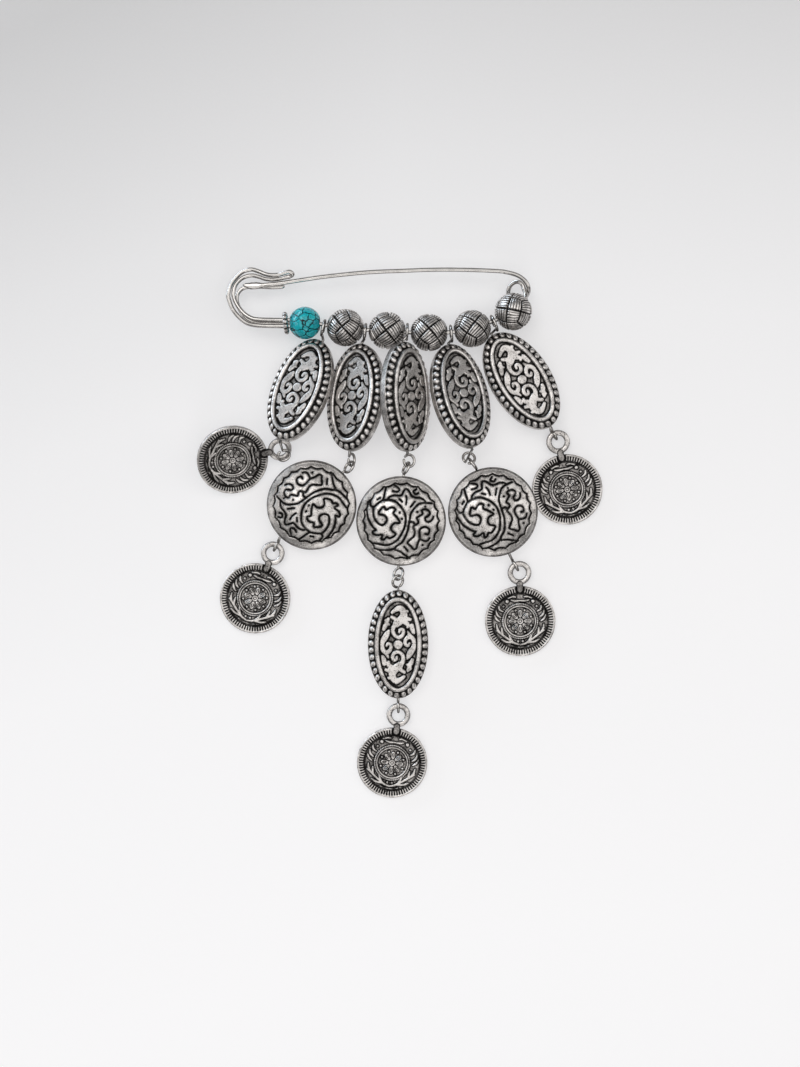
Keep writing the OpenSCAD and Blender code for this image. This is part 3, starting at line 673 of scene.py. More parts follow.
def veined_stone():
    """Polished dyed howlite sold as turquoise: glassy, blue green, with fine dark crackle veins."""
    colours = bpy.context.scene.brooch_colours
    material, tree, place = new_material("veined_turquoise")
    # Clouds of colour 2.2 mm across, which also bend the crackle
    cloud = add_node(
        tree, "ShaderNodeTexNoise", {"Vector": place, "Scale": 1 / (2.2 * MM), "Detail": 4.0, "Roughness": 0.6}
    ).outputs
    drift = add_node(
        tree, "ShaderNodeVectorMath", {0: cloud["Color"], "Scale": 1.6 * MM}, operation="SCALE"
    ).outputs["Vector"]
    bent = add_node(tree, "ShaderNodeVectorMath", {0: place, 1: drift}, operation="ADD").outputs["Vector"]
    # Veins 2.9 mm apart and hair veins 1.5 mm apart, each dark near its middle and gone at its edge
    lines = []
    for apart, middle, edge, strength in ((2.9, 0.02, 0.07, 1.0), (1.5, 0.0, 0.04, 0.7)):
        cells = add_node(
            tree, "ShaderNodeTexVoronoi", {"Vector": bent, "Scale": 1 / (apart * MM)},
            feature="DISTANCE_TO_EDGE",
        ).outputs["Distance"]
        line = add_node(
            tree, "ShaderNodeMapRange",
            {"Value": cells, "From Min": middle, "From Max": edge, "To Min": strength, "To Max": 0.0},
        )
        lines.append(line.outputs["Result"])
    veins = add_node(
        tree, "ShaderNodeMath", {0: lines[0], 1: lines[1]}, operation="MAXIMUM", use_clamp=True
    ).outputs[0]
    clouded = set_ramp(
        add_node(tree, "ShaderNodeValToRGB", {"Fac": cloud["Fac"]}),
        [(0.36, tuple(colours.stone_deep)), (0.6, tuple(colours.stone))],
    )
    base = add_node(
        tree, "ShaderNodeMix", {"Factor": veins, "A": clouded, "B": (*colours.vein, 1)}, data_type="RGBA"
    ).outputs["Result"]
    bump = add_node(
        tree, "ShaderNodeBump", {"Height": veins, "Strength": 0.4, "Distance": 0.04 * MM}, invert=True
    ).outputs["Normal"]
    # The veins are a dull filler that hardly shines
    shine = add_node(
        tree, "ShaderNodeMapRange",
        {"Value": veins, "From Min": 0.0, "From Max": 1.0, "To Min": 0.45, "To Max": 0.1},
    ).outputs["Result"]
    end_material(
        tree, {"Base Color": base, "Roughness": 0.1, "IOR": 1.6, "Specular IOR Level": shine, "Normal": bump}
    )
    return material


def dress(piece, material):
    """Gives a piece one material."""
    piece.data.materials.clear()
    piece.data.materials.append(material)


def finish_piece(piece, material, slot, *nodes, body="frame"):
    """Gives a piece its material and its body, and hides the solids that it stands for."""
    dress(piece, material)
    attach(piece, body)
    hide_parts(*nodes)


# Pin


class BROOCH_OT_pin(bpy.types.Operator):
    """Bend the pin wire: coil, bar, bow and catch, and the stem with its flattened point"""

    bl_idname = "brooch.pin"
    bl_label = "Pin"

    def execute(self, context):
        diameter = context.scene.brooch_sizes.wire / MM
        metal = plated_wire()
        lift = np.array([0, 0, BAR_Z])
        stem = smooth_rows(STEM[::-1], WIRE_STEPS) + lift
        run = [STEM[1], STEM[0]] + COIL + BAR + INNER_BOW + HOOK_TIP + OUTER_BOW + BACK_TURN + UNDER_WIRE
        run = smooth_rows(run, WIRE_STEPS) + lift
        # The stem and the frame part at the coil, joined by a short piece of the same wire
        low, high = BRIDGE_X
        frame_start = 2 * WIRE_STEPS
        stem_end = stem[stem[:, 0] < low]
        between = stem[(stem[:, 0] >= low) & (stem[:, 0] < high)]
        bridge = np.vstack([stem_end[-1:], between, run[WIRE_STEPS : frame_start + 1]])
        frame_wire = bent_wire("pin_wire", run[frame_start:], diameter)
        finish_piece(frame_wire, metal, "silver_wire", "pin_frame")

        xs, widths, heights = np.array(STEM_POINT).T
        radii = np.interp(stem_end[:, 0], xs, widths) / (diameter / 2)
        point = bent_wire("stem_wire", stem_end, diameter, radii)

        def flatten(p):
            share = np.interp(p[:, 0], xs, heights / widths)
            p[:, 2] = BAR_Z + (p[:, 2] - BAR_Z) * share
            return p

        move_points(point, flatten)
        finish_piece(point, metal, "silver_wire", "pin_stem", body="stem")
        joint = bent_wire("spring_wire", bridge, diameter, filed=False)
        dress(joint, metal)
        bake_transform(joint)
        return {"FINISHED"}


# Beads


class BROOCH_OT_spacer(bpy.types.Operator):
    """Cast the daisy spacer: a hub with a row of round dots"""

    bl_idname = "brooch.spacer"
    bl_label = "Daisy spacer"

    dots = 14
    dot_r = 0.74
    hub_inset = 0.85
    hub_r = 0.6

    def execute(self, context):
        radius = context.scene.brooch_sizes.spacer / MM / 2
        reach = radius - self.dot_r
        deselect()
        bpy.ops.mesh.primitive_torus_add(
            major_segments=64, minor_segments=20,
            major_radius=(radius - self.hub_inset) * MM, minor_radius=self.hub_r * MM,
        )
        parts = [active_piece("daisy_spacer")]
        for i in range(self.dots):
            around = 2 * math.pi * i / self.dots
            deselect()
            bpy.ops.mesh.primitive_uv_sphere_add(
                segments=20, ring_count=12, radius=self.dot_r * MM,
                location=(reach * math.cos(around) * MM, reach * math.sin(around) * MM, 0),
            )
            parts.append(active_piece("dot"))
        piece = join_pieces(*parts)

        def between_dots(p):
            around = np.arctan2(p[:, 1], p[:, 0]) / (2 * math.pi / self.dots)
            off = np.abs(around - np.round(around)) * 2
            ring = np.hypot(p[:, 0], p[:, 1])
            dark = 0.9 * ease(0.5, 0.85, off) + 0.8 * ease(radius - 1.1, radius - 1.8, ring)
            return np.clip(dark, 0, 1)

        give_patina_and_shade(piece, between_dots)
        x, y, lean = SPACER
        move_points(piece, lambda p: turned(p, ("Y", 90), ("Z", lean)) + np.array([x, y, BUNDLE_Z]))
        piece.data.shade_smooth()
        finish_piece(piece, cast_silver(), "silver_wire", "spacer")
        return {"FINISHED"}


class BROOCH_OT_turquoise(bpy.types.Operator):
    """Grind the turquoise bead and drill it"""

    bl_idname = "brooch.turquoise"
    bl_label = "Turquoise bead"

    bore_r = 1.95

    def execute(self, context):
        middle = np.array([*TURQUOISE, BUNDLE_Z])
        deselect()
        bpy.ops.mesh.primitive_uv_sphere_add(
            segments=96, ring_count=64, radius=context.scene.brooch_sizes.turquoise / 2,
            location=tuple(middle * MM), rotation=(0, math.pi / 2, 0),
        )
        bead = active_piece("turquoise_stone")
        reach = np.array([8, 0, 0])
        drill(bead, middle - reach, middle + reach, self.bore_r)
        smooth_by_angle(bead, 40)
        finish_piece(bead, veined_stone(), "turquoise", "turquoise_bead")
        return {"FINISHED"}


def woven_ball(radius):
    """A ball of woven patches: four to each side of a rounded cube, their ridges running crosswise in turn.
    Returns its points in millimetres, faces and patina."""
    cells = 52
    ridges = 5
    patch_width = 4.4
    # How high the patches stand over the gaps between them, and the ridges over their patch
    patch_rise, ridge_rise = 0.34, 0.16
    core_r = radius - (patch_rise + ridge_rise)
    edge = np.linspace(-1, 1, cells + 1)
    u, v = np.meshgrid(edge, edge, indexing="ij")
    # Place within a patch, from 0 to 1 each way
    pu, pv = [np.where(w >= 1, 1.0, np.mod(w + 1, 1.0 + 1e-9)) for w in (u, v)]
    margin = np.minimum(np.minimum(pu, 1 - pu), np.minimum(pv, 1 - pv)) * patch_width
    inside = ease(0.1, 0.42, margin)
    points, faces, dark, seen = [], [], [], {}
    for side in range(6):
        axis, sign = side // 2, 1.0 if side % 2 else -1.0
        patch = (u >= 0).astype(int) + (v >= 0).astype(int) + axis
        lines = np.abs(np.sin(math.pi * ridges * np.where(patch % 2 == 0, pu, pv)))
        rib = ease(0.05, 0.75, lines)
        black = 1 - inside * ease(0.16, 0.62, lines)
        ways = [None, None, None]
        ways[axis] = np.full(u.shape, sign)
        ways[(axis + 1) % 3] = np.tan(u * math.pi / 4) * sign
        ways[(axis + 2) % 3] = np.tan(v * math.pi / 4)
        out = np.stack(ways, -1)
        out /= np.linalg.norm(out, axis=-1, keepdims=True)
        at = out * (core_r + patch_rise * inside + ridge_rise * rib * inside)[..., None]
        # The sides share the points along their edges
        ids = np.zeros(u.shape, int)
        for i, j in np.ndindex(*u.shape):
            inner = 0 < i < cells and 0 < j < cells
            key = (side, i, j) if inner else tuple(np.round(out[i, j], 4))
            if key not in seen:
                seen[key] = len(points)
                points.append(at[i, j])
                dark.append(black[i, j])
            ids[i, j] = seen[key]
        faces.append(grid_faces(ids))
    return np.array(points), np.vstack(faces).tolist(), np.array(dark)


class BROOCH_OT_woven_beads(bpy.types.Operator):
    """Cast the five woven silver balls and drill them along the bar"""

    bl_idname = "brooch.woven_beads"
    bl_label = "Woven balls"

    bore_r = 1.15

    def execute(self, context):
        silver = cast_silver()
        points, faces, dark = woven_ball(context.scene.brooch_sizes.ball / MM / 2)
        for i, (x, y, left, right, *spin) in enumerate(BALLS):
            at = np.array([x, y, BAR_Z])
            turn = turned(points, *zip("XYZ", spin))
            ball = mesh_piece(f"woven_ball_{i + 1}", turn + at, faces, dark)
            for aim in (left, right):
                drill(ball, at - 0.3 * direction(aim), at + 7 * direction(aim), self.bore_r)
            ball.data.shade_smooth()
            finish_piece(ball, silver, "antique_silver", f"woven_bead_{i + 1}")
        return {"FINISHED"}


# Drops

# Section rings of an oval drop's solid: inset and height as a share of half the thickness
OVAL_SECTION = [
    (3.6, -1.0), (0.9, -0.7), (0, -0.34), (0, 0.3), (1.15, 0.55), (2.0, 0.68), (2.5, 1.0), (3.0, 1.0),
    (3.35, 0.72),
]


def oval_size():
    """Width, length and thickness of an oval drop in millimetres."""
    sizes = bpy.context.scene.brooch_sizes
    return sizes.oval_width / MM, sizes.oval_length / MM, sizes.oval_thickness / MM


def place_oval(oval, points, roll=0):
    """Points of an oval drop at its place, where its lowest edge is on the surface unless it is lifted.
    Only the drop rolls, not the eye pin in it."""
    x, y, lean, own_roll, rise, _, lift = oval
    width, long, thick = oval_size()
    tilt, slope = math.radians(own_roll), math.radians(rise)
    height = lift + max(
        math.hypot((width / 2 - inset) * math.cos(slope) * math.sin(tilt), (long / 2 - inset) * math.sin(slope))
        - share * thick / 2 * math.cos(slope) * math.cos(tilt)
        for inset, share in OVAL_SECTION
    )
    return turned(points, ("Y", -roll), ("X", -rise), ("Z", -lean)) + np.array([x, y, height])


def oval_plaque(width, long, thick, beads):
    """The oval drop lying level about the origin: beaded border, ring frame, sunken field with scrolls."""
    a, b, top = width / 2, long / 2, thick / 2
    field = 0.72 * top
    # Insets of the field's grid, the foot of the ring frame inside and outside, its ridge, and the beads
    core_inset, frame_in, frame_out, ridge, bead_row = 3.5, 3.4, 2.05, 2.72, 1.0
    # Half widths of the ring frame and of a bead, and a bead's share of its row
    frame_half, bead_half, bead_share = 0.69, 0.86, 0.82
    front = [3.4, 3.3, 3.2, 3.05, 2.85, 2.65, 2.45, 2.3, 2.15, 2.05, 1.95, 1.8, 1.65, 1.5, 1.35, 1.2, 1.05,
             0.9, 0.75, 0.6, 0.45, 0.35, 0.25, 0.12, 0.04, 0.0]
    back = [(0.0, 0.2), (0.0, 0.0), (0.0, -0.2), (0.03, -0.34), (0.25, -0.43), (0.55, -0.55), (0.95, -0.7),
            (1.8, -0.8), (2.7, -0.9), (3.65, -1.0), (5.5, -1.0)]
    insets = front + [inset for inset, _ in back]
    x, y, core, rings, faces = plaque((a, b), core_inset, 70, 128, insets)
    z, dark = np.zeros(x.shape), np.zeros(x.shape)
    # Field and scrolls
    cx, cy = x[:core], y[:core]
    sx, sy, _ = turned(np.stack([cx, cy, 0 * cx], -1), ("Z", -RELIEF_TURN)).T
    away = np.minimum(stroke_distance(sx, sy, OVAL_SCROLLS), stroke_distance(-sx, -sy, OVAL_SCROLLS))
    away = np.minimum(away, np.hypot(cx, cy) - 1.3) - 0.08
    raised = 1 - ease(-0.1, 0.14, away)
    grain = stipple(cx, cy, (9.1, 5.3, 8.3, 6.1), 2)
    z[:core] = field + 0.55 * raised - 0.05 * (1 - raised) * grain
    near = ease(-0.06, 0.04, away) * (1 - ease(0.34, 0.6, away))
    dark[:core] = np.maximum((0.42 + 0.14 * grain) * (1 - raised), near)
    ca, cb = a - core_inset, b - core_inset
    rho = np.maximum(np.hypot(cx / ca, cy / cb), 1e-6)
    edge = (1 - rho) * rho / np.hypot(cx / ca**2, cy / cb**2).clip(1e-6)
    dark[:core] = np.maximum(dark[:core], 1 - ease(0.1, 0.45, edge))
    # Ring frame, groove and border
    share = np.arange(rings.shape[1]) / rings.shape[1] * beads
    along = np.abs(share - np.round(share)) * 2 / bead_share
    for rows, inset in zip(rings, front):
        if inset >= frame_in:
            z[rows], dark[rows] = field, 1.0
        elif inset >= frame_out:
            bow = math.sqrt(max(0, 1 - ((inset - ridge) / frame_half) ** 2))
            z[rows] = field + 0.1 + (top - field - 0.1) * bow**0.6
            dark[rows] = 0.8 * (1 - ease(0.3, 0.7, bow))
        else:
            base = top * (0.3 + 0.4 * min(1, inset / 2.0))
            out = abs(inset - bead_row) / bead_half
            dome = np.clip(1 - np.minimum(along, 1) ** 2.1 - min(out, 1) ** 2.1, 0, 1) ** 0.5
            z[rows] = base + (0.9 - 0.25 * inset) * 0.95 * dome - 0.12 * (dome == 0) * (inset > 0.2)
            dark[rows] = np.where(inset < 0.22, 0.25, 0.95 * (1 - ease(0.28, 0.58, dome)))
    for rows, (_, height) in zip(rings[len(front) :], back):
        z[rows], dark[rows] = height * top, 0.2
    return np.stack([x, y, z], -1), faces, dark


class BROOCH_OT_oval_drops(bpy.types.Operator):
    """Cast the six oval drops with their beaded borders and scrolls"""

    bl_idname = "brooch.oval_drops"
    bl_label = "Oval drops"

    def execute(self, context):
        points, faces, dark = oval_plaque(*oval_size(), context.scene.brooch_sizes.border_beads)
        silver = cast_silver()
        for i, oval in enumerate(OVALS):
            drop = mesh_piece(f"oval_relief_{i + 1}", place_oval(oval, points, roll=oval[3]), faces, dark)
            finish_piece(drop, silver, "antique_silver", f"oval_{i + 1}")
        return {"FINISHED"}


def disc_plaque(diameter, thick):
    """The disc drop about the origin: a dome with a round rim, engraved swirls in a scalloped line."""
    half = diameter / 2
    rim = 1.2
    dome_r = half - 1.0
    dome_h = thick / 2 - rim
    sphere = (dome_r**2 + dome_h**2) / (2 * dome_h)
    core_inset = 2.0
    cusps = 22
    line_half, cut_depth = 0.23, 0.3
    front = [1.85, 1.7, 1.55, 1.4, 1.25, 1.1, 1.0, 0.85, 0.7, 0.55, 0.4, 0.28, 0.17, 0.08, 0.02, 0.0]
    back = [0.0, 0.02, 0.08, 0.2, 0.4, 0.7, 1.0, 2.0, 3.5, 5.5, 8.0, 11.0, 12.8]
    x, y, _, rings, faces = plaque((half, half), core_inset, 124, 124, front + back)
    r = np.hypot(x, y)
    dome = thick / 2 - sphere + np.sqrt(np.maximum(sphere**2 - r**2, 0))
    edge = np.sqrt(np.maximum(rim**2 - np.maximum(r - (half - rim), 0) ** 2, 0))
    z = np.where(r < dome_r, np.maximum(dome, edge), edge)
    lower = rings[len(front), 0]
    z[lower:] *= -1
    cx, cy, cr = x[:lower], y[:lower], r[:lower]
    # The border line's cusps point outwards
    theta = np.arctan2(cy, cx)
    cusp = np.abs(np.sin(cusps / 2 * theta + 0.6 * np.sin(2 * theta)))
    border = half - 1.98 - 0.55 * cusp**0.8
    away = stroke_distance(cx, cy, [[(px, py, line_half) for px, py in line] for line in DISC_LINES])
    away = np.minimum(away, np.abs(cr - border) - 0.2)
    cut = 1 - ease(-0.06, 0.16, away)
    z[:lower] -= cut_depth * cut
    dark = np.zeros(x.shape)
    smudge = 0.5 + 0.5 * np.sin(cx * 0.9 + 1.3) * np.sin(cy * 0.8 - 0.4)
    dark[:lower] = np.maximum(ease(0.05, 0.5, cut), (0.08 + 0.3 * smudge) * (1 - ease(0.1, 0.75, away)))
    # Painted shade: the outermost rim, where it curves down, is darker
    dark[:lower] += 0.5 * ease(half - 0.8, half - 0.1, cr)
    dark[lower:] = 0.14
    return np.stack([x, y, z], -1), faces, np.clip(dark, 0, 1)


class BROOCH_OT_disc_drops(bpy.types.Operator):
    """Cast the three domed disc drops and engrave them"""

    bl_idname = "brooch.disc_drops"
    bl_label = "Disc drops"

    def execute(self, context):
        sizes = context.scene.brooch_sizes
        thick = sizes.disc_thickness / MM
        points, faces, dark = disc_plaque(sizes.disc / MM, thick)
        silver = cast_silver()
        for i, (x, y, _, spin) in enumerate(DISCS):
            turn = turned(points, ("Z", spin)) + np.array([x, y, thick / 2])
            drop = mesh_piece(f"disc_relief_{i + 1}", turn, faces, dark)
            finish_piece(drop, silver, "antique_silver", f"disc_{i + 1}")
        return {"FINISHED"}


def coin_relief(x, y):
    """How far each point of a coin's field lies outside its wreath, sprays, rings and plain rosette."""
    r, theta = np.hypot(x, y), np.arctan2(y, x)
    sides = np.abs(x)
    shapes = [stroke_distance(sides, y, COIN_SPRAYS)]
    shapes += [np.hypot(sides - dx, y - dy) - dr for dx, dy, dr in COIN_DOTS]
    # Dotted ring round the medallion
    dots, dotted_r = 60, 5.25
    turn = np.mod(theta / (2 * math.pi) * dots + 0.5, 1) - 0.5
    shapes.append(np.hypot(r - dotted_r, turn * 2 * math.pi * dotted_r / dots) - 0.17)
    # Angle from the middle of the nearest petal, and from the middle of the nearest gap
    petals = 8
    leaf = np.abs(np.mod(theta / (2 * math.pi) * petals + 0.5, 1) - 0.5) * 2 * math.pi / petals
    gap = math.pi / petals - leaf
    out, off = r * np.cos(leaf), r * np.sin(leaf)
    # Thin ring, petal, its vein, dot between two petals, middle ring and middle dot
    shapes += [
        np.abs(r - 4.62) - 0.13,
        np.abs(np.hypot(out - 2.25, off * 1.9) - 0.95) - 0.16,
        np.hypot(np.maximum(np.abs(out - 2.2) - 0.45, 0), off) - 0.09,
        np.hypot(r * np.cos(gap) - 3.55, r * np.sin(gap)) - 0.24,
        np.abs(r - 0.72) - 0.14,
        r - 0.3,
    ]
    return np.minimum.reduce(shapes) - 0.09


def coin_plaque(diameter, thick, ticks):
    """The coin drop with its back on z = 0: rim, milled ticks, wreath, dotted ring and a plain rosette."""
    half = diameter / 2
    core_inset, tick_foot, rim_foot = 2.7, 2.3, 0.6
    relief, rim_rise = 0.32, 0.4
    tick_columns = 6
    front = [2.55, 2.4, 2.3, 2.2, 2.05, 1.85, 1.6, 1.35, 1.15, 0.95, 0.82, 0.72, 0.62, 0.5, 0.35, 0.2,
             0.08, 0.0]
    back = [(0.0, thick * 0.9), (0.0, thick * 0.2), (0.08, 0.04), (0.2, 0.0), (1.2, 0.0), (4.0, 0.0),
            (8.0, 0.0)]
    quarter = round(ticks * tick_columns / 4)
    insets = front + [inset for inset, _ in back]
    x, y, core, rings, faces = plaque((half, half), core_inset, quarter, quarter, insets)
    z, dark = np.zeros(x.shape), np.zeros(x.shape)
    cx, cy = x[:core], y[:core]
    away = coin_relief(cx, cy)
    raised = 1 - ease(-0.1, 0.1, away)
    grain = stipple(cx, cy, (7.3, 5.1, 6.7, 4.3), 1)
    z[:core] = thick + relief * raised - 0.04 * (1 - raised) * grain
    near = ease(-0.04, 0.05, away) * (1 - ease(0.22, 0.48, away))
    dark[:core] = np.maximum((1 - raised) * (0.36 + 0.16 * grain), near * 0.97)
    tick = np.abs(np.mod(np.arange(rings.shape[1]) / tick_columns + 0.5, 1) - 0.5) * 2
    for rows, inset in zip(rings, front):
        if inset >= tick_foot:
            z[rows], dark[rows] = thick, 0.85
        elif inset > rim_foot:
            tooth = ease(0.35, 0.6, tick) * (1 - ease(1.75, 2.1, inset))
            z[rows] = thick + relief * np.maximum(tooth, 1 - ease(0.6, 0.8, inset))
            dark[rows] = (1 - tooth) * ease(0.62, 0.8, inset) * 0.98
        else:
            z[rows] = thick + rim_rise - 0.25 * (1 - ease(0, 0.22, inset))
            dark[rows] = 0.04
    # Oxide round the foot of the tab
    lower = rings[len(front), 0]
    tab = np.hypot(x[:lower], np.maximum(TAB[0] - y[:lower], 0)) - TAB[2]
    dark[:lower] = np.maximum(dark[:lower], 1 - ease(0.35, 0.6, tab))
    for rows, (_, height) in zip(rings[len(front) :], back):
        z[rows], dark[rows] = height, 0.2
    return np.stack([x, y, z], -1), faces, dark


def coin_mount(thick):
    """The raised tab and the hanging ring of a coin, with the coin's middle at the origin."""
    wire_r = 0.825
    deselect()
    bpy.ops.mesh.primitive_torus_add(
        major_segments=72, minor_segments=24, major_radius=RING_MIDDLE * MM, minor_radius=wire_r * MM
    )
    ring = active_piece("hanging_ring")
    move_points(ring, lambda p: p * [1, 1, RING_T / (2 * wire_r)] + [0, RING_REACH, RING_T / 2])
    # Painted shade: the ring is dark over its lower half and bright on top
    give_patina_and_shade(ring, lambda p: 0.85 * (1 - ease(0.62, 1.02, p[:, 2])))

    lower, upper, half = TAB
    foot, top = 0.2, thick + 0.55
    deselect()
    bpy.ops.mesh.primitive_cylinder_add(
        vertices=48, radius=half * MM, depth=(top - foot) * MM, location=(0, 0, (foot + top) / 2 * MM)
    )
    tab = active_piece("tab")

    def stretch(p):
        p[:, 1] += np.where(p[:, 1] > 0, upper, lower)
        return p

    move_points(tab, stretch)
    apply_modifier(
        tab, "BEVEL", width=0.3 * MM, segments=4, limit_method="ANGLE", angle_limit=math.radians(50)
    )

    def outline(p):
        away = np.hypot(p[:, 0], np.maximum(np.abs(p[:, 1] - (lower + upper) / 2) - (upper - lower) / 2, 0))
        return 0.4 + 0.6 * ease(0.72 * half, 0.86 * half, away)

    give_patina_and_shade(tab, outline)
    return ring, tab


def place_coin(coin, points):
    """Points of a coin drop at its place, where its lowest edge is on the surface."""
    x, y, aim, roll, lift = coin
    tilt, slope = math.radians(roll), math.radians(lift)
    half = bpy.context.scene.brooch_sizes.coin / MM / 2
    height = half * math.hypot(math.sin(tilt) * math.cos(slope), math.sin(slope))
    return turned(points, ("Y", roll), ("X", lift), ("Z", aim - 90)) + np.array([x, y, height])


class BROOCH_OT_coin_drops(bpy.types.Operator):
    """Cast the five coin drops with their tabs and hanging rings"""

    bl_idname = "brooch.coin_drops"
    bl_label = "Coin drops"

    def execute(self, context):
        sizes = context.scene.brooch_sizes
        thick = sizes.coin_thickness / MM
        points, faces, dark = coin_plaque(sizes.coin / MM, thick, sizes.coin_ticks)
        silver = cast_silver()
        for i, row in enumerate(COINS):
            coin = join_pieces(mesh_piece(f"coin_relief_{i + 1}", points, faces, dark), *coin_mount(thick))
            move_points(coin, lambda p: place_coin(row, p))
            smooth_by_angle(coin, 55)
            finish_piece(coin, silver, "antique_silver", f"coin_{i + 1}")
        return {"FINISHED"}


# Eye pins


def hook_loop(start, coin):
    """Loop that stands upright in a coin's ring, a little over its middle: middle, normal, radius."""
    ring = place_coin(COINS[coin], [0, RING_REACH, RING_T / 2])
    way = unit([start[0] - ring[0], start[1] - ring[1], 0])
    return ring + way * RING_MIDDLE + np.array([0, 0, 0.25]), np.cross(way, [0, 0, 1]), LOOP_R


def eye_rows():
    """Each eye pin: upper end and lower end of its shaft, upper loop, lower loop."""
    sizes = bpy.context.scene.brooch_sizes
    reach = sizes.oval_length / MM / 2 + SHAFT_OUT
    # The lower end of a shifted bore goes a little the other way
    ovals = [
        (place_oval(oval, [oval[5], reach, 0]), place_oval(oval, [-0.3 * oval[5], -reach, 0]))
        for oval in OVALS
    ]
    # A disc's shaft stands out a little less
    reach = sizes.disc / MM / 2 + SHAFT_OUT - 0.1
    discs = [[np.array([x, y, DISC_Z]) + s * reach * direction(aim) for s in (1, -1)] for x, y, aim, _ in DISCS]

    def bar(x, y, aim):
        return np.array([x, y, BAR_Z]), direction(aim), BAR_LOOP_R

    def link(x, y, z, aim, rise):
        return np.array([x, y, z]), direction(aim, rise), LOOP_R

    return [
        (*ovals[0], bar(-22.9, 61.5, -14), link(-34.9, 23.4, 4.0, -61, 51)),
        (*ovals[1], bar(-10.4, 60.3, -7), link(-14.5, 22.1, 4.2, -2, 28)),
        (*ovals[2], bar(2.2, 60.3, -3), link(2.8, 21.8, 4.2, 0, 60)),
        (*ovals[3], bar(15.4, 59.8, 6), link(20.8, 22.6, 3.9, 68, 62)),
        (*ovals[4], bar(28.3, 62.9, 24), hook_loop(ovals[4][1], 4)),
        (*ovals[5], link(-0.6, -14.5, 3.3, -25, 53), hook_loop(ovals[5][1], 2)),
        (*discs[0], link(-15.2, 19.9, 4.2, -35, -35), hook_loop(discs[0][1], 1)),
        (*discs[1], link(1.9, 19.6, 4.2, -25, -20), link(-0.4, -12.2, 3.3, 155, 45)),
        (*discs[2], link(22.0, 20.9, 4.2, 36, 7), hook_loop(discs[2][1], 3)),
    ]


def eye_loop(end, middle, normal, radius):
    """An open loop at one end of a shaft, from its cut end to the shaft."""
    out = end - middle
    first = unit(out - (out @ normal) * normal)
    second = np.cross(normal, first)
    # The cut end lies beside the shaft, 32 degrees from it
    turns = np.radians(np.linspace(32, 357, 44))
    ring = [middle + radius * (math.cos(t) * first + math.sin(t) * second) for t in turns]
    return np.vstack([ring, [end]])


class BROOCH_OT_eye_pins(bpy.types.Operator):
    """Bend the nine eye pins, each with an open loop at either end"""

    bl_idname = "brooch.eye_pins"
    bl_label = "Eye pins"

    def execute(self, context):
        diameter = context.scene.brooch_sizes.eye_wire / MM
        metal = plated_wire()
        for i, (high, low, upper, lower) in enumerate(eye_rows()):
            path = np.vstack([eye_loop(high, *upper), eye_loop(low, *lower)[::-1]])
            # The thin eye wires get painted shade further up their sides
            pin = bent_wire(f"eye_wire_{i + 1}", path, diameter, film_and_side_shade=0.92)
            finish_piece(pin, metal, "silver_wire", f"eye_pin_{i + 1}")
        return {"FINISHED"}


# Stage


# Glow of the floor: its back and front along Y in metres, and its strength by the share of the way between
GLOW_Y = (0.2, -0.12)
GLOW = [(0.0, 0.18), (0.125, 0.27), (0.265, 0.37), (0.414, 0.445), (0.65, 0.512), (1.0, 0.545)]
# Light of the room's lamps and of the window, linear
WHITE, WINDOW = (1.0, 0.98, 0.96), (0.76, 0.88, 1.0)
# Softboxes, all facing the brooch: place, width and height, power, colour
SOFTBOXES = {
    "overhead_softbox": ((0.0, 0.1, 1.2), (2.0, 2.0), 10.5, WHITE),
    "key_softbox": ((-0.35, 0.4, 1.0), (0.45, 0.45), 1.0, WHITE),
    "window_softbox": ((-0.8, 0.75, 0.19), (1.3, 0.36), 6.6, WINDOW),
    "left_softbox": ((-1.0, -0.1, 0.5), (0.4, 0.4), 0.8, WHITE),
    "right_softbox": ((1.05, 0.25, 0.7), (0.8, 0.8), 2.0, WHITE),
    "front_softbox": ((0.1, -1.0, 0.6), (0.5, 0.5), 1.4, WHITE),
}
# The photo: its height in pixels, and the size of a pixel on the brooch
PHOTO_ROWS = 1067
PIXEL = 0.3 * MM


def floor_paper():
    """Matt paper with a grain almost too faint to see. The paper itself glows as painted light, dimmer at the
    back and left, which takes most of the shadow away."""
    material, tree, place = new_material("floor_paper")
    # Grain of 0.8 mm
    fibre = add_node(tree, "ShaderNodeTexNoise", {"Vector": place, "Scale": 1 / (0.8 * MM)}).outputs["Fac"]
    pale = tuple(bpy.context.scene.brooch_colours.floor)
    base = set_ramp(
        add_node(tree, "ShaderNodeValToRGB", {"Fac": fibre}),
        [(0.3, tuple(0.985 * c for c in pale)), (0.7, pale)],
    )
    # The left side counts as up to 50 mm further back
    spot = add_node(tree, "ShaderNodeSeparateXYZ", {"Vector": place}).outputs
    left = add_node(
        tree, "ShaderNodeMapRange",
        {"Value": spot["X"], "From Min": 0.0, "From Max": -0.12, "To Min": 0.0, "To Max": 0.05},
    ).outputs["Result"]
    back = add_node(tree, "ShaderNodeMath", {0: spot["Y"], 1: left}, operation="ADD").outputs[0]
    front = add_node(
        tree, "ShaderNodeMapRange",
        {"Value": back, "From Min": GLOW_Y[0], "From Max": GLOW_Y[1], "To Min": 0.0, "To Max": 1.0},
    ).outputs["Result"]
    glow = set_ramp(
        add_node(tree, "ShaderNodeValToRGB", {"Fac": front}), [(at, (level,) * 3) for at, level in GLOW]
    )
    end_material(
        tree,
        {
            "Base Color": base, "Roughness": 0.9, "Specular IOR Level": 0.2,
            "Emission Color": (0.985, 0.985, 1.0, 1), "Emission Strength": glow,
        },
    )
    return material


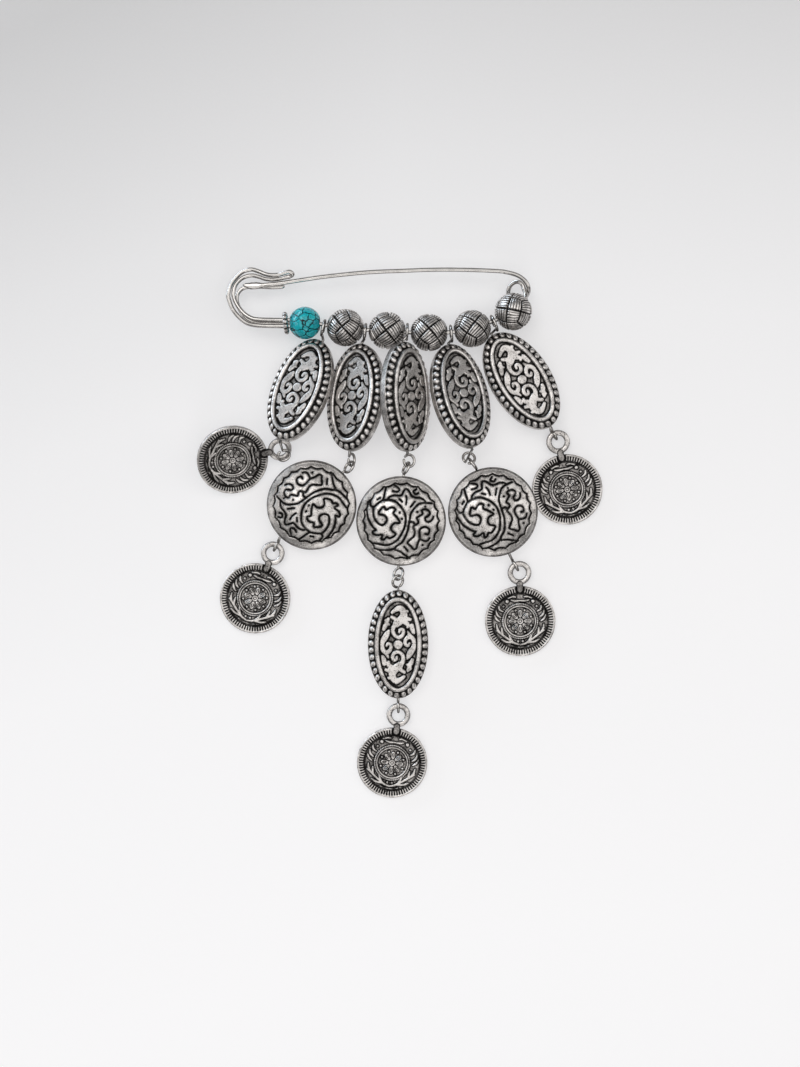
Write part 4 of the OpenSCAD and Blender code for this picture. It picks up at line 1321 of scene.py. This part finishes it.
class BROOCH_OT_stage(bpy.types.Operator):
    """Lay out the pale floor, the soft lights and the camera"""

    bl_idname = "brooch.stage"
    bl_label = "Stage"

    def execute(self, context):
        scene = context.scene
        deselect()
        bpy.ops.mesh.primitive_plane_add(size=4, location=(0, 0, 0))
        floor = active_piece("floor")
        dress(floor, floor_paper())

        scene.world = bpy.data.worlds.new("studio")
        scene.world.use_nodes = True
        sky = scene.world.node_tree.nodes["Background"].inputs
        sky["Color"].default_value = (0.95, 0.97, 1.0, 1)
        sky["Strength"].default_value = 0.1

        for name, (at, size, power, tint) in SOFTBOXES.items():
            deselect()
            bpy.ops.object.light_add(type="AREA", location=at)
            lamp = context.object
            lamp.name = name
            way = -unit(at)
            lamp.rotation_euler = (math.acos(-way[2]), 0, math.atan2(way[1], way[0]) - math.pi / 2)
            lamp.data.shape = "RECTANGLE"
            lamp.data.size, lamp.data.size_y = size
            lamp.data.energy = power
            lamp.data.color = tint

        # The camera looks straight down on the brooch's middle height, a quarter of a pixel off centre
        distance, middle = 0.45, 0.005
        deselect()
        bpy.ops.object.camera_add(location=(PIXEL / 4, -PIXEL / 4, distance + middle), rotation=(0, 0, 0))
        camera = context.object
        camera.data.sensor_width = 36
        camera.data.lens = camera.data.sensor_width * distance / (PHOTO_ROWS * PIXEL)
        scene.camera = camera
        scene.view_settings.view_transform = "Standard"
        return {"FINISHED"}


class BROOCH_PT_panel(bpy.types.Panel):
    """Sizes, colours and steps of the brooch"""

    bl_idname = "BROOCH_PT_panel"
    bl_label = "Silver Brooch"
    bl_space_type = "VIEW_3D"
    bl_region_type = "UI"
    bl_category = "Brooch"

    def draw(self, context):
        for group in (context.scene.brooch_sizes, context.scene.brooch_colours):
            box = self.layout.box()
            for key in group.bl_rna.properties.keys():
                if key not in ("rna_type", "name"):
                    box.prop(group, key)
        for step in STEPS:
            self.layout.operator(step.bl_idname)


STEPS = [
    BROOCH_OT_pin,
    BROOCH_OT_spacer,
    BROOCH_OT_turquoise,
    BROOCH_OT_woven_beads,
    BROOCH_OT_oval_drops,
    BROOCH_OT_disc_drops,
    BROOCH_OT_coin_drops,
    BROOCH_OT_eye_pins,
    BROOCH_OT_stage,
]
CLASSES = [BroochSizes, BroochColours, *STEPS, BROOCH_PT_panel]


def register():
    for one in CLASSES:
        bpy.utils.register_class(one)
    bpy.types.Scene.brooch_sizes = bpy.props.PointerProperty(type=BroochSizes)
    bpy.types.Scene.brooch_colours = bpy.props.PointerProperty(type=BroochColours)


def unregister():
    del bpy.types.Scene.brooch_sizes
    del bpy.types.Scene.brooch_colours
    for one in reversed(CLASSES):
        bpy.utils.unregister_class(one)


def main():
    register()
    for step in (
        bpy.ops.brooch.pin,
        bpy.ops.brooch.spacer,
        bpy.ops.brooch.turquoise,
        bpy.ops.brooch.woven_beads,
        bpy.ops.brooch.oval_drops,
        bpy.ops.brooch.disc_drops,
        bpy.ops.brooch.coin_drops,
        bpy.ops.brooch.eye_pins,
        bpy.ops.brooch.stage,
    ):
        step()


if __name__ == "__main__":
    main()
